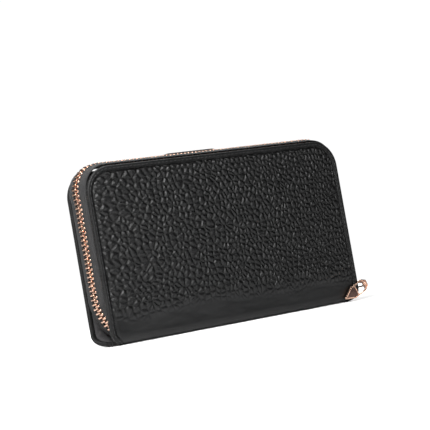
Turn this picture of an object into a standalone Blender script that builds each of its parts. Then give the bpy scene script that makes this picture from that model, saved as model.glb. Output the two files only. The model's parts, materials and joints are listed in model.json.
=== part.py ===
"""Long zip-around wallet, standing on its spine. X is its width, Y its thickness, Z up.

The spine is the root. A front and a rear half fold down from it, each with a cover, card pockets
and one side of the main zip. A coin pocket with its own zip stands in the middle.
"""

import math

import bpy
from mathutils import Matrix, Vector

MM = 0.001

# Driving sizes, in millimetres
WIDTH = 195.0
HEIGHT = 108.0
DEPTH = 26.0
CORNER_R = 17.0
END_R = 8.0
SPINE_FRONT_R = 4.0
SPINE_REAR_R = 8.0
FOLD_Z = 9.0
FRONT_FOLD_Z = 1.5
CLEAR = 0.3

# Sheet thicknesses
LEATHER_T = 1.4
BOARD_T = 0.7
LINING_T = 0.4
POCKET_T = 0.45
PANEL_T = 0.9
TAPE_T = 0.7

# Card pockets and coin pocket
POCKET_COUNT = 4
POCKET_TOP = HEIGHT - 24.0
POCKET_STEP = 12.0
POCKET_GAP = 0.25
POCKET_MARGIN = 9.0
COIN_HALF_X = WIDTH / 2 - 19.5
COIN_INNER_Y = 2.3
COIN_WALL = 0.6
COIN_TOP = HEIGHT - 20.0

# Main zip
ZIP_INSET = 0.6
ZIP_LOW = 7.0
TOOTH_PITCH = 2.8
TOOTH_W = 1.1
TOOTH_T = 2.4
TOOTH_REACH = 0.6
CORD_OUT = 3.3
CORD_IN = 2.1
PARTED_TIP = 1.3
LOW_TIP = 0.35
LOW_TEETH_Z = 24.0
SLIDER_Z = 12.5
SLIDER_L = 11.0
PLATE_T = 0.8
POST_HALF = 0.9

# Pull
LINK_REACH = DEPTH / 2 - 0.7
LINK_END = 1.2
PULL_L = 20.0
PULL_W = 8.4
PULL_T = 1.6
PULL_ANGLE = math.radians(68.0)

# Snap tab on the rear face
TAB_W = 44.0
TAB_TIP_Z = HEIGHT - 46.0
TAB_T = 1.0
SNAP_R = 6.0
SNAP_Z = HEIGHT - 36.0

BLACK = (0.02, 0.02, 0.022, 1.0)
DARK = (0.05, 0.05, 0.055, 1.0)
GREY = (0.16, 0.15, 0.15, 1.0)
ROSE = (0.78, 0.50, 0.38, 1.0)
CARD = (0.55, 0.45, 0.33, 1.0)


def clear_scene():
    """Remove everything that a new file starts with."""
    for obj in list(bpy.data.objects):
        bpy.data.objects.remove(obj, do_unlink=True)


def finish_for(name, colour, metal):
    """A Principled material of its own for one piece."""
    material = bpy.data.materials.new(name)
    material.use_nodes = True
    shader = material.node_tree.nodes["Principled BSDF"]
    shader.inputs["Base Color"].default_value = colour
    shader.inputs["Metallic"].default_value = 1.0 if metal else 0.0
    shader.inputs["Roughness"].default_value = 0.3 if metal else 0.6
    return material


def add_piece(name, points, faces, colour=BLACK, metal=False, pivot=(0.0, 0.0, 0.0)):
    """One named object, its origin on the pivot. Points and pivot are in millimetres."""
    centre = Vector(pivot) * MM
    mesh = bpy.data.meshes.new(name)
    mesh.from_pydata([Vector(point) * MM - centre for point in points], [], faces)
    mesh.validate()
    mesh.materials.append(finish_for(name, colour, metal))
    obj = bpy.data.objects.new(name, mesh)
    obj.location = centre
    bpy.context.scene.collection.objects.link(obj)
    return obj


def cells(axes, filled, warp=None):
    """Points and outward faces of the filled cells of a grid. Each axis is a rising list."""
    counts = [len(axis) - 1 for axis in axes]
    index = {}
    points = []
    faces = []

    def corner(key):
        if key not in index:
            index[key] = len(points)
            point = tuple(axes[n][key[n]] for n in range(3))
            points.append(warp(*point) if warp else point)
        return index[key]

    def is_filled(cell):
        inside = all(0 <= cell[n] < counts[n] for n in range(3))
        return inside and filled(*cell)

    for i in range(counts[0]):
        for j in range(counts[1]):
            for k in range(counts[2]):
                cell = (i, j, k)
                if not is_filled(cell):
                    continue
                for n in range(3):
                    a, b = (n + 1) % 3, (n + 2) % 3
                    for side in (0, 1):
                        near = list(cell)
                        near[n] += 1 if side else -1
                        if is_filled(tuple(near)):
                            continue
                        ring = []
                        for da, db in ((0, 0), (1, 0), (1, 1), (0, 1)):
                            key = list(cell)
                            key[n] += side
                            key[a] += da
                            key[b] += db
                            ring.append(corner(tuple(key)))
                        faces.append(ring if side else ring[::-1])
    return points, faces


def outline(inset, low, low_r=1.0, low_inset=None):
    """Closed outline in X and Z: rounded top corners, a straight bottom edge. Clockwise from below left."""
    half = WIDTH / 2 - inset
    top = HEIGHT - inset
    radius = max(CORNER_R - inset, 2.0)
    bottom = low + (inset * 0.25 if low_inset is None else low_inset)
    ring = []
    turn, rise = 90.0, low_r
    if bottom < END_R:
        # A face that reaches the rounded end corners follows them
        low_r = max(END_R - inset, low_r)
        rise = min(END_R - bottom, low_r)
        turn = math.degrees(math.asin(rise / low_r))
    corners = (
        (-half + low_r, bottom + rise, low_r, 180 + turn, 180, 3),
        (-half + radius, top - radius, radius, 180, 90, 10),
        (half - radius, top - radius, radius, 90, 0, 10),
        (half - low_r, bottom + rise, low_r, 0, -turn, 3),
    )
    for x, z, r, start, end, steps in corners:
        for step in range(steps + 1):
            angle = math.radians(start + (end - start) * step / steps)
            ring.append((x + r * math.cos(angle), z + r * math.sin(angle)))
    return ring


def loft(rings):
    """Points and faces of a body through rings of equal count, with both ends capped."""
    points = [point for ring in rings for point in ring]
    count = len(rings[0])
    faces = [list(range(count))[::-1]]
    for layer in range(len(rings) - 1):
        base = layer * count
        for n in range(count):
            after = (n + 1) % count
            faces.append([base + n, base + after, base + count + after, base + count + n])
    base = (len(rings) - 1) * count
    faces.append([base + n for n in range(count)])
    return points, faces


def facing_out(points, faces):
    """Turn every face round when the body's signed volume is negative."""
    total = 0.0
    for face in faces:
        first = Vector(points[face[0]])
        for n in range(1, len(face) - 1):
            total += first.dot(Vector(points[face[n]]).cross(Vector(points[face[n + 1]])))
    if total < 0:
        faces = [face[::-1] for face in faces]
    return points, faces


def plate(name, ring, near, far, side, **kwargs):
    """A sheet with an X-Z outline between two distances from the middle, on one side (-1 front)."""
    rings = [[(x, side * depth, z) for x, z in ring] for depth in (near, far)]
    return add_piece(name, *facing_out(*loft(rings)), **kwargs)


# Lengths along the zip: up the left end, round a corner, along the top, and down the right end
PATH_R = CORNER_R - ZIP_INSET
SIDE_RUN = HEIGHT - CORNER_R - ZIP_LOW
ARC_RUN = math.pi / 2 * PATH_R
TOP_RUN = WIDTH - 2 * CORNER_R
PATH_RUN = 2 * (SIDE_RUN + ARC_RUN) + TOP_RUN


def zip_point(s, y, n):
    """The point at length s along the zip, at thickness y and height n above its tape."""
    half = WIDTH / 2 - ZIP_INSET
    if s <= SIDE_RUN:
        return (-half - n, y, ZIP_LOW + s)
    if s >= PATH_RUN - SIDE_RUN:
        return (half + n, y, ZIP_LOW + PATH_RUN - s)
    if SIDE_RUN + ARC_RUN <= s <= PATH_RUN - SIDE_RUN - ARC_RUN:
        x = -WIDTH / 2 + CORNER_R + s - SIDE_RUN - ARC_RUN
        return (x, y, HEIGHT - ZIP_INSET + n)
    left = s < PATH_RUN / 2
    turned = (s - SIDE_RUN) if left else (PATH_RUN - SIDE_RUN - s)
    angle = math.pi - turned / PATH_R
    x = -WIDTH / 2 + CORNER_R + (PATH_R + n) * math.cos(angle)
    z = HEIGHT - CORNER_R + (PATH_R + n) * math.sin(angle)
    return (x if left else -x, y, z)


def path_stops():
    """Lengths at which a smooth band along the zip needs a cross edge."""
    steps = 10
    arc = [ARC_RUN * n / steps for n in range(steps + 1)]
    first = [SIDE_RUN + a for a in arc]
    second = [PATH_RUN - SIDE_RUN - ARC_RUN + a for a in arc]
    return [0.0] + first + second + [PATH_RUN]


def make_tape(name, side):
    """Woven tape from beside the tooth row out to the edge of the board."""
    low, high = CORD_OUT + CLEAR, DEPTH / 2 - LEATHER_T - BOARD_T - 2 * CLEAR
    ys = sorted((side * low, side * high))
    axes = (path_stops(), ys, [-TAPE_T / 2, TAPE_T / 2])
    body = cells(axes, lambda i, j, k: True, zip_point)
    return add_piece(name, *facing_out(*body), colour=DARK)


def make_teeth(name, side, end_s):
    """One row of teeth on its cord.

    The rows stand apart down the right end for the slider's post, and just short of the middle near
    the fold, where a turning half lifts its teeth.
    """
    offset = 0.0 if side < 0 else TOOTH_PITCH / 2
    start = 4.0
    count = int((end_s - start - offset) / TOOTH_PITCH)
    stops = [start + offset - (TOOTH_PITCH - TOOTH_W) / 2]
    for n in range(count):
        at = start + offset + n * TOOTH_PITCH
        stops += [at, at + TOOTH_W]
    stops.append(stops[-1] + (TOOTH_PITCH - TOOTH_W) / 2)
    parted_from = PATH_RUN - SIDE_RUN - 1.0

    def warp(s, y, n):
        if abs(y) == TOOTH_REACH:
            y = -side * TOOTH_REACH
            if s < LOW_TEETH_Z - ZIP_LOW:
                y = side * LOW_TIP
            elif s > parted_from:
                y = side * PARTED_TIP
        return zip_point(s, y, n)

    ys = [-CORD_OUT, -CORD_IN, -TOOTH_REACH] if side < 0 else [TOOTH_REACH, CORD_IN, CORD_OUT]
    cord = 0 if side < 0 else 1
    axes = (stops, ys, [-TOOTH_T / 2, TOOTH_T / 2])
    body = cells(axes, lambda i, j, k: j == cord or i % 2 == 1, warp)
    return add_piece(name, *facing_out(*body), colour=ROSE, metal=True)


def block(name, low, high, **kwargs):
    """A plain block between two corners."""
    axes = tuple([low[n], high[n]] for n in range(3))
    return add_piece(name, *cells(axes, lambda i, j, k: True), **kwargs)


def bevel(obj, width, segments=2):
    """Round the edges of a block or plate."""
    modifier = obj.modifiers.new("Bevel", "BEVEL")
    modifier.width = width * MM
    modifier.segments = segments
    modifier.limit_method = "ANGLE"
    modifier.angle_limit = math.radians(50)
    return obj


def disc(name, centre, radius, near, far, **kwargs):
    """A round plate facing along Y."""
    steps = 32
    rings = []
    for depth, r in ((near, radius), (far - 0.3, radius), (far, radius - 0.5)):
        ring = []
        for n in range(steps):
            angle = 2 * math.pi * n / steps
            ring.append((centre[0] + r * math.cos(angle), depth, centre[1] + r * math.sin(angle)))
        rings.append(ring)
    return add_piece(name, *facing_out(*loft(rings)), **kwargs)


def fold_z(side):
    """Height of a half's fold: low on the front arc, so that the pull clears the spine, and higher behind."""
    return FRONT_FOLD_Z if side < 0 else FOLD_Z


def make_cover(name, side):
    """Outer leather of one half: a flat stitched rim, a groove, then a padded field."""
    low = fold_z(side) + CLEAR
    outer = DEPTH / 2
    layers = (
        (0.0, outer - LEATHER_T),
        (0.0, outer - 0.5),
        (0.5, outer - 0.2),
        (3.4, outer - 0.2),
        (4.2, outer - 0.8),
        (5.6, outer - 0.2),
        (9.0, outer),
    )
    rings = []
    for inset, depth in layers:
        rings.append([(x, side * depth, z) for x, z in outline(inset, low)])
    pivot = (0.0, side * outer, fold_z(side))
    return add_piece(name, *facing_out(*loft(rings)), colour=BLACK, pivot=pivot)


def make_shell(name, outer, thick, colour):
    """A channel section along X with rounded end corners: one layer of the spine.

    The rear side stands up to its fold. The front side ends on its arc, cut square to it.
    """
    inner = outer - thick
    base = DEPTH / 2 - outer
    section = []
    for wall, floor, shrink, order in ((outer, base, 0.0, 1), (inner, base + thick, thick, -1)):
        half_rings = []
        for side, corner_r in ((1, SPINE_REAR_R), (-1, SPINE_FRONT_R)):
            radius = corner_r - base - shrink
            rise = fold_z(side) - CLEAR - corner_r
            start = math.asin(min(rise / corner_r, 0.0))
            arc = [(side * wall, rise + corner_r)] if rise > 0 else []
            for n in range(7):
                angle = start + (-math.pi / 2 - start) * n / 6
                y = wall - radius + radius * math.cos(angle)
                arc.append((side * y, floor + radius + radius * math.sin(angle)))
            half_rings.append(arc)
        section += (half_rings[0] + half_rings[1][::-1])[::order]
    count = len(section)

    def end_x(z):
        drop = max(END_R - z, 0.0)
        return WIDTH / 2 - base - (END_R - math.sqrt(max(END_R**2 - drop**2, 0.0)))

    rings = [[(sign * end_x(z), y, z) for y, z in section] for sign in (-1, 1)]
    body = loft(rings)
    assert len(body[0]) == 2 * count
    return add_piece(name, *facing_out(*body), colour=colour)


def make_spine():
    """Spine leather and lining, and the coin pocket with its zip."""
    make_shell("spine_cover", DEPTH / 2, LEATHER_T, BLACK)
    make_shell("spine_lining", DEPTH / 2 - LEATHER_T - CLEAR, 0.8, GREY)
    base = LEATHER_T + 2 * CLEAR + 0.8
    outer_y = COIN_INNER_Y + COIN_WALL
    xs = [-COIN_HALF_X, -COIN_HALF_X + COIN_WALL, COIN_HALF_X - COIN_WALL, COIN_HALF_X]
    ys = [-outer_y, -COIN_INNER_Y, COIN_INNER_Y, outer_y]
    zs = [base, base + COIN_WALL, COIN_TOP]
    bag = cells((xs, ys, zs), lambda i, j, k: not (i == 1 and j == 1 and k == 1))
    add_piece("coin_bag", *bag, colour=GREY)


def row_of_teeth(name, side, start, end, pitch, width, ys, zs):
    """A straight comb along X for the coin zip."""
    stops = []
    count = int((end - start) / pitch)
    for n in range(count):
        stops += [start + n * pitch, start + n * pitch + width]
    body = cells((stops, ys, zs), lambda i, j, k: j == (0 if side < 0 else 1) or i % 2 == 0)
    return add_piece(name, *facing_out(*body), colour=ROSE, metal=True)


COIN_SLIDER_X = COIN_HALF_X - 16.0
COIN_ZIP_Z = COIN_TOP + CLEAR


def make_coin_zip():
    """Two tapes, two rows of teeth, four stops, a slider and its pull along the coin pocket's mouth."""
    outer_y = COIN_INNER_Y + COIN_WALL
    reach = COIN_HALF_X - 4.0
    for side, word in ((-1, "front"), (1, "rear")):
        ys = sorted((side * 1.75, side * outer_y))
        block(
            f"coin_tape_{word}", (-reach, ys[0], COIN_ZIP_Z), (reach, ys[1], COIN_ZIP_Z + 0.5), colour=DARK
        )
        row_ys = sorted((side * 0.55, side * 1.0, side * 1.45))
        zs = [COIN_ZIP_Z - 0.35, COIN_ZIP_Z + 0.95]
        row_of_teeth(f"coin_teeth_{word}", side, -reach + 4.0, reach - 4.0, 2.0, 0.9, row_ys, zs)
        for end, tag in ((-1, "left"), (1, "right")):
            xs = sorted((end * (reach - 3.2), end * (reach - 1.2)))
            low, high = sorted((side * 0.3, side * 1.45))
            block(
                f"coin_stop_{tag}_{word}", (xs[0], low, zs[0]), (xs[1], high, zs[1]), colour=ROSE, metal=True
            )
    x, half = COIN_SLIDER_X, 3.2
    low, high = COIN_ZIP_Z - 0.35, COIN_ZIP_Z + 0.95
    xs = [x - half, x - 0.7, x + 0.7, x + half]
    ys = [-2.0, -0.25, 0.25, 2.0]
    zs = [low - CLEAR - 0.5, low - CLEAR, high + CLEAR, high + CLEAR + 0.6, high + CLEAR + 1.4]

    def filled(i, j, k):
        if k in (0, 2):
            return True
        return j == 1 and i == 1 if k == 1 else i == 1 and j == 1

    body = cells((xs, ys, zs), filled)
    add_piece("coin_slider", *body, colour=ROSE, metal=True, pivot=(x, 0.0, COIN_ZIP_Z))
    top = zs[-1]
    pivot_z = top + CLEAR + 0.5
    length = 14.0
    pull = block(
        "coin_pull",
        (x - length, -1.5, pivot_z - 0.5),
        (x + 0.5, 1.5, pivot_z + 0.5),
        colour=ROSE,
        metal=True,
        pivot=(x, 0.0, pivot_z),
    )
    bevel(pull, 0.3)


def make_half(side, word):
    """One half: cover, board, lining, card pockets, zip tape and teeth, and its zip stops."""
    low = fold_z(side) + CLEAR
    pivot = (0.0, side * DEPTH / 2, fold_z(side))
    make_cover(f"{word}_cover", side)
    board_out = DEPTH / 2 - LEATHER_T - CLEAR
    board_in = board_out - BOARD_T
    plate(f"{word}_board", outline(1.0, low, low_inset=1.2), board_in, board_out, side, colour=CARD, pivot=pivot)
    lining_out = board_in - CLEAR
    lining_in = lining_out - LINING_T
    plate(
        f"{word}_lining", outline(2.2, low, low_inset=1.7), lining_in, lining_out, side, colour=GREY, pivot=pivot
    )
    face = lining_in - CLEAR
    reach = WIDTH / 2 - POCKET_MARGIN
    for n in range(POCKET_COUNT):
        top = POCKET_TOP - n * POCKET_STEP
        bottom = FOLD_Z + 5.0
        ring = [(-reach, bottom), (-reach, top - 3), (-reach + 3, top), (reach - 3, top), (reach, top - 3), (reach, bottom)]
        plate(f"{word}_card_pocket_{n + 1}", ring, face - POCKET_T, face, side, colour=DARK, pivot=pivot)
        face -= POCKET_T + POCKET_GAP
    make_tape(f"{word}_zip_tape", side)
    row_end = PATH_RUN - (SLIDER_Z + SLIDER_L / 2 + 1.0 - ZIP_LOW)
    make_teeth(f"{word}_teeth", side, row_end)
    ys = sorted((side * 1.0, side * CORD_OUT))
    axes = ([0.2, 1.8], ys, [-TOOTH_T / 2, TOOTH_T / 2])
    body = cells(axes, lambda i, j, k: True, zip_point)
    add_piece(f"{word}_stop_start", *facing_out(*body), colour=ROSE, metal=True)


def make_slider():
    """Slider round both rows on the right end, its loop, the link and the long pointed pull."""
    x = WIDTH / 2 - ZIP_INSET
    plate_in = TOOTH_T / 2 + CLEAR
    plate_out = plate_in + PLATE_T
    slot = TAPE_T / 2 + CLEAR
    side = CORD_OUT + CLEAR
    low, high = SLIDER_Z - SLIDER_L / 2, SLIDER_Z + SLIDER_L / 2
    xs = [x + v for v in (-plate_out, -plate_in, -slot, slot, plate_in, plate_out, plate_out + 1.7, plate_out + 2.5)]
    ys = [-side - 0.9, -side, -POST_HALF, -0.4, 0.4, POST_HALF, side, side + 0.9]
    zs = [low, low + 0.9, low + 2.4, low + 4.6, low + 5.5, high]

    def filled(i, j, k):
        if i in (0, 4):
            return True
        post = j in (2, 3, 4) and k in (1, 2)
        if i in (1, 3):
            return j in (0, 6) or post
        if i == 2:
            return post
        if i == 5:
            return j == 3 and k in (0, 3)
        return j == 3 and k <= 3

    def warp(px, py, pz):
        wide = 1.0 if pz < low + 4 else 1.0 - 0.06 * (pz - low - 4) / (high - low - 4)
        if abs(py) > side + 0.5:
            py *= wide
        return (px, py, pz)

    body = cells((xs, ys, zs), filled, warp)
    add_piece("slider", *facing_out(*body), colour=ROSE, metal=True, pivot=(x, 0.0, SLIDER_Z))

    # The link turns about the loop's bar, which runs along Z
    bar_x = x + plate_out + 2.1
    mid = low + 2.75
    hole, wall = 0.7, 0.6
    ring_x = [bar_x - hole - wall, bar_x - hole, bar_x + hole, bar_x + hole + wall]
    ring_y = [-LINK_REACH - LINK_END, -LINK_REACH + 1.6, -hole - wall, -hole, hole, hole + wall]
    ring_z = [mid - 1.3, mid + 1.3]

    def ring_filled(i, j, k):
        if j >= 2:
            return not (i == 1 and j == 3)
        return i == 1

    body = cells((ring_x, ring_y, ring_z), ring_filled)
    add_piece("pull_link", *facing_out(*body), colour=ROSE, metal=True, pivot=(bar_x, 0.0, SLIDER_Z))
    make_pull(bar_x, mid)


def make_pull(bar_x, mid):
    """Pen-nib pull: a window above, solid and pointed below. It hangs on the link's end."""
    pivot = Vector((bar_x, -LINK_REACH - LINK_END - CLEAR - PULL_T / 2, mid))
    half = PULL_W / 2
    shape = ((-2.0, 2.0), (1.5, half), (PULL_L * 0.62, half * 0.92), (PULL_L, 0.5))
    outer = [(w, -d) for d, w in shape] + [(-w, -d) for d, w in shape[::-1]]
    inner = [(w, -d) for d, w in ((2.6, 1.4), (3.2, half - 1.5), (10.0, half - 1.7), (11.6, 1.2))]
    inner = inner + [(-w, d) for w, d in inner[::-1]]
    turn = Matrix.Rotation(PULL_ANGLE, 3, "Y")
    points = []
    for ring in (outer, inner):
        for depth in (-PULL_T / 2, PULL_T / 2):
            points += [pivot + turn @ Vector((x, depth, z)) for x, z in ring]
    count = len(outer)
    faces = []
    for n in range(count):
        m = (n + 1) % count
        faces.append([n, m, count + m, count + n])
        faces.append([2 * count + n, 3 * count + n, 3 * count + m, 2 * count + m])
        faces.append([n, 2 * count + n, 2 * count + m, m])
        faces.append([count + n, count + m, 3 * count + m, 3 * count + n])
    add_piece("puller", *facing_out(points, faces), colour=ROSE, metal=True, pivot=tuple(pivot))


def make_rear_face():
    """Slip pocket, its snap, and the leather tab that folds over from the top edge."""
    outer = DEPTH / 2
    pivot = (0.0, outer, FOLD_Z)
    panel_in = outer + CLEAR
    panel_out = panel_in + PANEL_T
    reach = WIDTH / 2 - 14.0
    top = POCKET_TOP
    ring = [(-reach, 15.0), (-reach, top - 4), (-reach + 5, top), (reach - 5, top), (reach, top - 4), (reach, 15.0)]
    plate("slip_pocket", ring, panel_in, panel_out, 1, colour=BLACK, pivot=pivot)
    stud_out = panel_out + CLEAR + 0.5
    disc("snap_stud", (0.0, SNAP_Z), SNAP_R - 1.2, panel_out + CLEAR, stud_out, colour=ROSE, metal=True, pivot=pivot)
    tab_in = stud_out + CLEAR
    tab_out = tab_in + TAB_T
    top = HEIGHT + 1.6
    half = TAB_W / 2
    ring = [(-half, top - 19.6), (-half, top - 4), (-half + 4, top), (half - 4, top), (half, top - 4), (half, top - 19.6)]
    plate("tab_anchor", ring, panel_in, tab_in - CLEAR, 1, colour=BLACK, pivot=pivot)
    hinge = (0.0, tab_out, top)
    ring = [(-half, TAB_TIP_Z + 8), (-half, top - 4), (-half + 4, top), (half - 4, top), (half, top - 4)]
    ring += [(half, TAB_TIP_Z + 8), (half - 8, TAB_TIP_Z), (-half + 8, TAB_TIP_Z)]
    plate("snap_tab", ring, tab_in, tab_out, 1, colour=BLACK, pivot=hinge)
    disc(
        "snap_cap", (0.0, SNAP_Z), SNAP_R, tab_out + CLEAR, tab_out + CLEAR + 0.9, colour=ROSE, metal=True, pivot=hinge
    )


def main():
    clear_scene()
    make_spine()
    make_coin_zip()
    make_half(-1, "front")
    make_half(1, "rear")
    make_slider()
    make_rear_face()


main()
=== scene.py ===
"""Looks for a long zip-around wallet of pebbled leather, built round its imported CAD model.

X is the wallet's width, -Y its front, Z up from the spine that it stands on. Sizes are in metres.
"""

from __future__ import annotations

import json
import logging
import math
from dataclasses import dataclass, field
from enum import Enum
from typing import Callable, Sequence

import bpy
import numpy as np
from mathutils import Matrix, Vector

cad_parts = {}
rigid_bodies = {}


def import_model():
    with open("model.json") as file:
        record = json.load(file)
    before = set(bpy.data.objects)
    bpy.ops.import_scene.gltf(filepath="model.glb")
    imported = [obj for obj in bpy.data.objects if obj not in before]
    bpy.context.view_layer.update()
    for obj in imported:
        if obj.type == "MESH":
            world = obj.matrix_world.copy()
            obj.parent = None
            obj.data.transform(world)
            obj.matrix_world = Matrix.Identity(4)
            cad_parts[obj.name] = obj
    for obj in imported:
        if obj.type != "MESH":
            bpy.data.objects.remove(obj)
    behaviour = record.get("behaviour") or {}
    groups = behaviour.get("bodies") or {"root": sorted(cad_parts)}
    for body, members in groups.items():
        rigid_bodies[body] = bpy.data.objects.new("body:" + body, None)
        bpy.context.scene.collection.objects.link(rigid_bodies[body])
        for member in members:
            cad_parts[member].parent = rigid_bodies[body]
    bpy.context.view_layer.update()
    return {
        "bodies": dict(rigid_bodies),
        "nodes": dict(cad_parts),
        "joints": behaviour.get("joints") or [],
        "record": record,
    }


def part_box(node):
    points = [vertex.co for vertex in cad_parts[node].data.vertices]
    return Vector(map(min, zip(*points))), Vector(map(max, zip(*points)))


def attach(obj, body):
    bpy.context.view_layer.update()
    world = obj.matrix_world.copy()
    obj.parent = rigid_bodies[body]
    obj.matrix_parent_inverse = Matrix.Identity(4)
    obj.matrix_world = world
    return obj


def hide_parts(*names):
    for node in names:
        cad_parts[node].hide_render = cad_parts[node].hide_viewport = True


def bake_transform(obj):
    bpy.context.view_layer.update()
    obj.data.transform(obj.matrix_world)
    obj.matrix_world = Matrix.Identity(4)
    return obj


LOG = logging.getLogger("long_wallet")
MM = 0.001
Array = np.ndarray


class Side(Enum):
    """The two halves of the wallet, as the sign of Y."""

    FRONT = -1
    REAR = 1

    @property
    def body(self) -> str:
        """Name of the CAD body that this half rides on."""
        return "front_half" if self is Side.FRONT else "rear_half"

    @property
    def word(self) -> str:
        """Short name of this half, as CAD nodes use it."""
        return "front" if self is Side.FRONT else "rear"


class TreeKind(Enum):
    """The kinds of node tree that this script makes new."""

    GEOMETRY = "GeometryNodeTree"


# ---------------------------------------------------------------- node writing


@dataclass
class NodeWriter:
    """Writes nodes that shader and geometry trees share.

    Attributes:
        tree: The tree that the nodes go into.
    """

    tree: bpy.types.NodeTree

    def add(self, kind: str, **settings: object) -> bpy.types.Node:
        """Adds one node.

        Args:
            kind: Its type, such as ShaderNodeMath.
            settings: Properties to set on it.

        Returns:
            The new node.
        """
        node = self.tree.nodes.new(kind)
        for name, value in settings.items():
            setattr(node, name, value)
        return node

    def link(self, source: bpy.types.NodeSocket, target: bpy.types.NodeSocket) -> None:
        """Links one socket to another."""
        self.tree.links.new(source, target)

    def feed(self, socket: bpy.types.NodeSocket, value: object) -> None:
        """Links a socket to another, or sets its value."""
        if isinstance(value, bpy.types.NodeSocket):
            self.link(value, socket)
        else:
            socket.default_value = value

    def maths(self, operation: str, a: object, b: object = 0.0, clamp: bool = False) -> bpy.types.NodeSocket:
        """One step of arithmetic.

        Args:
            operation: The operation's name.
            a: First number or socket.
            b: Second number or socket.
            clamp: Keep the result from 0 to 1.

        Returns:
            The result's socket.
        """
        node = self.add("ShaderNodeMath", operation=operation, use_clamp=clamp)
        self.feed(node.inputs[0], a)
        self.feed(node.inputs[1], b)
        return node.outputs[0]

    def vector_maths(self, operation: str, a: object, b: object) -> bpy.types.NodeSocket:
        """One step of vector arithmetic, where SCALE takes a number second.

        Args:
            operation: The operation's name.
            a: First vector or socket.
            b: Second vector, number or socket.

        Returns:
            The result's socket.
        """
        node = self.add("ShaderNodeVectorMath", operation=operation)
        self.feed(node.inputs[0], a)
        self.feed(node.inputs["Scale"] if operation == "SCALE" else node.inputs[1], b)
        return node.outputs[0]

    def ramp(
        self, value: object, low: object, high: object, to_low: object = 0.0, to_high: object = 1.0
    ) -> bpy.types.NodeSocket:
        """A smooth step between two values.

        Args:
            value: What is read.
            low: Where the step starts.
            high: Where it ends.
            to_low: Result at the start.
            to_high: Result at the end.

        Returns:
            The result's socket.
        """
        node = self.add("ShaderNodeMapRange", interpolation_type="SMOOTHSTEP")
        for socket, entry in zip(node.inputs, (value, low, high, to_low, to_high)):
            self.feed(socket, entry)
        return node.outputs[0]

    def noise(
        self, where: object, scale: float, detail: float = 2.0, colour: bool = False
    ) -> bpy.types.NodeSocket:
        """Soft noise in space.

        Args:
            where: The position read.
            scale: Cells to the metre.
            detail: Octaves.
            colour: Give a vector and not a number.

        Returns:
            The result's socket.
        """
        node = self.add("ShaderNodeTexNoise")
        self.feed(node.inputs["Vector"], where)
        node.inputs["Scale"].default_value = scale
        node.inputs["Detail"].default_value = detail
        return node.outputs["Color" if colour else "Fac"]

    def cells(self, where: object, scale: object, feature: str = "DISTANCE_TO_EDGE") -> bpy.types.NodeSocket:
        """Irregular cells.

        Args:
            where: The position read.
            scale: Cells to the metre.
            feature: What is measured in each cell.

        Returns:
            The distance socket.
        """
        node = self.add("ShaderNodeTexVoronoi", feature=feature)
        self.feed(node.inputs["Vector"], where)
        self.feed(node.inputs["Scale"], scale)
        return node.outputs["Distance"]

    def warped(self, where: object, scale: float, amount: object) -> bpy.types.NodeSocket:
        """A position pushed about by soft noise.

        Args:
            where: The position.
            scale: Noise cells to the metre.
            amount: Reach of the push, in metres.

        Returns:
            The moved position.
        """
        push = self.vector_maths("SUBTRACT", self.noise(where, scale, 1.0, True), (0.5, 0.5, 0.5))
        return self.vector_maths("ADD", where, self.vector_maths("SCALE", push, amount))

    def pebbles(self, where: object, size: object) -> bpy.types.NodeSocket:
        """Height from 0 to 1 of leather pebbles with narrow creases, a little finer towards +X.

        Args:
            where: The position.
            size: Width of a pebble, in metres.

        Returns:
            The height.
        """
        moved = self.warped(self.warped(where, 45.0, 0.006), 300.0, 0.0013)
        split = self.add("ShaderNodeSeparateXYZ")
        self.feed(split.inputs[0], moved)
        across = split.outputs["X"]
        finer = self.maths("ADD", across, self.maths("MULTIPLY", self.maths("MULTIPLY", across, across), 1.4))
        flat = self.add("ShaderNodeCombineXYZ")
        self.feed(flat.inputs["X"], finer)
        self.feed(flat.inputs["Y"], split.outputs["Z"])
        node = self.add("ShaderNodeTexVoronoi", feature="DISTANCE_TO_EDGE", voronoi_dimensions="2D")
        self.link(flat.outputs[0], node.inputs["Vector"])
        self.feed(node.inputs["Scale"], self.maths("DIVIDE", 1.0, size))
        node.inputs["Randomness"].default_value = 0.9
        return self.ramp(node.outputs["Distance"], -0.04, 0.38)

    def above_band(self, where: object, low: object, high: object) -> bpy.types.NodeSocket:
        """How much grain shows: none on the smooth band by the spine, all of it above.

        Args:
            where: The position.
            low: Height where grain starts.
            high: Height where it is full.

        Returns:
            A share from 0 to 1.
        """
        split = self.add("ShaderNodeSeparateXYZ")
        self.feed(split.inputs[0], where)
        sway = self.maths("MULTIPLY", self.maths("SUBTRACT", self.noise(where, 32.0), 0.5), 0.016)
        return self.ramp(self.maths("ADD", split.outputs["Z"], sway), low, high)


# ---------------------------------------------------------------- finishes


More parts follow.
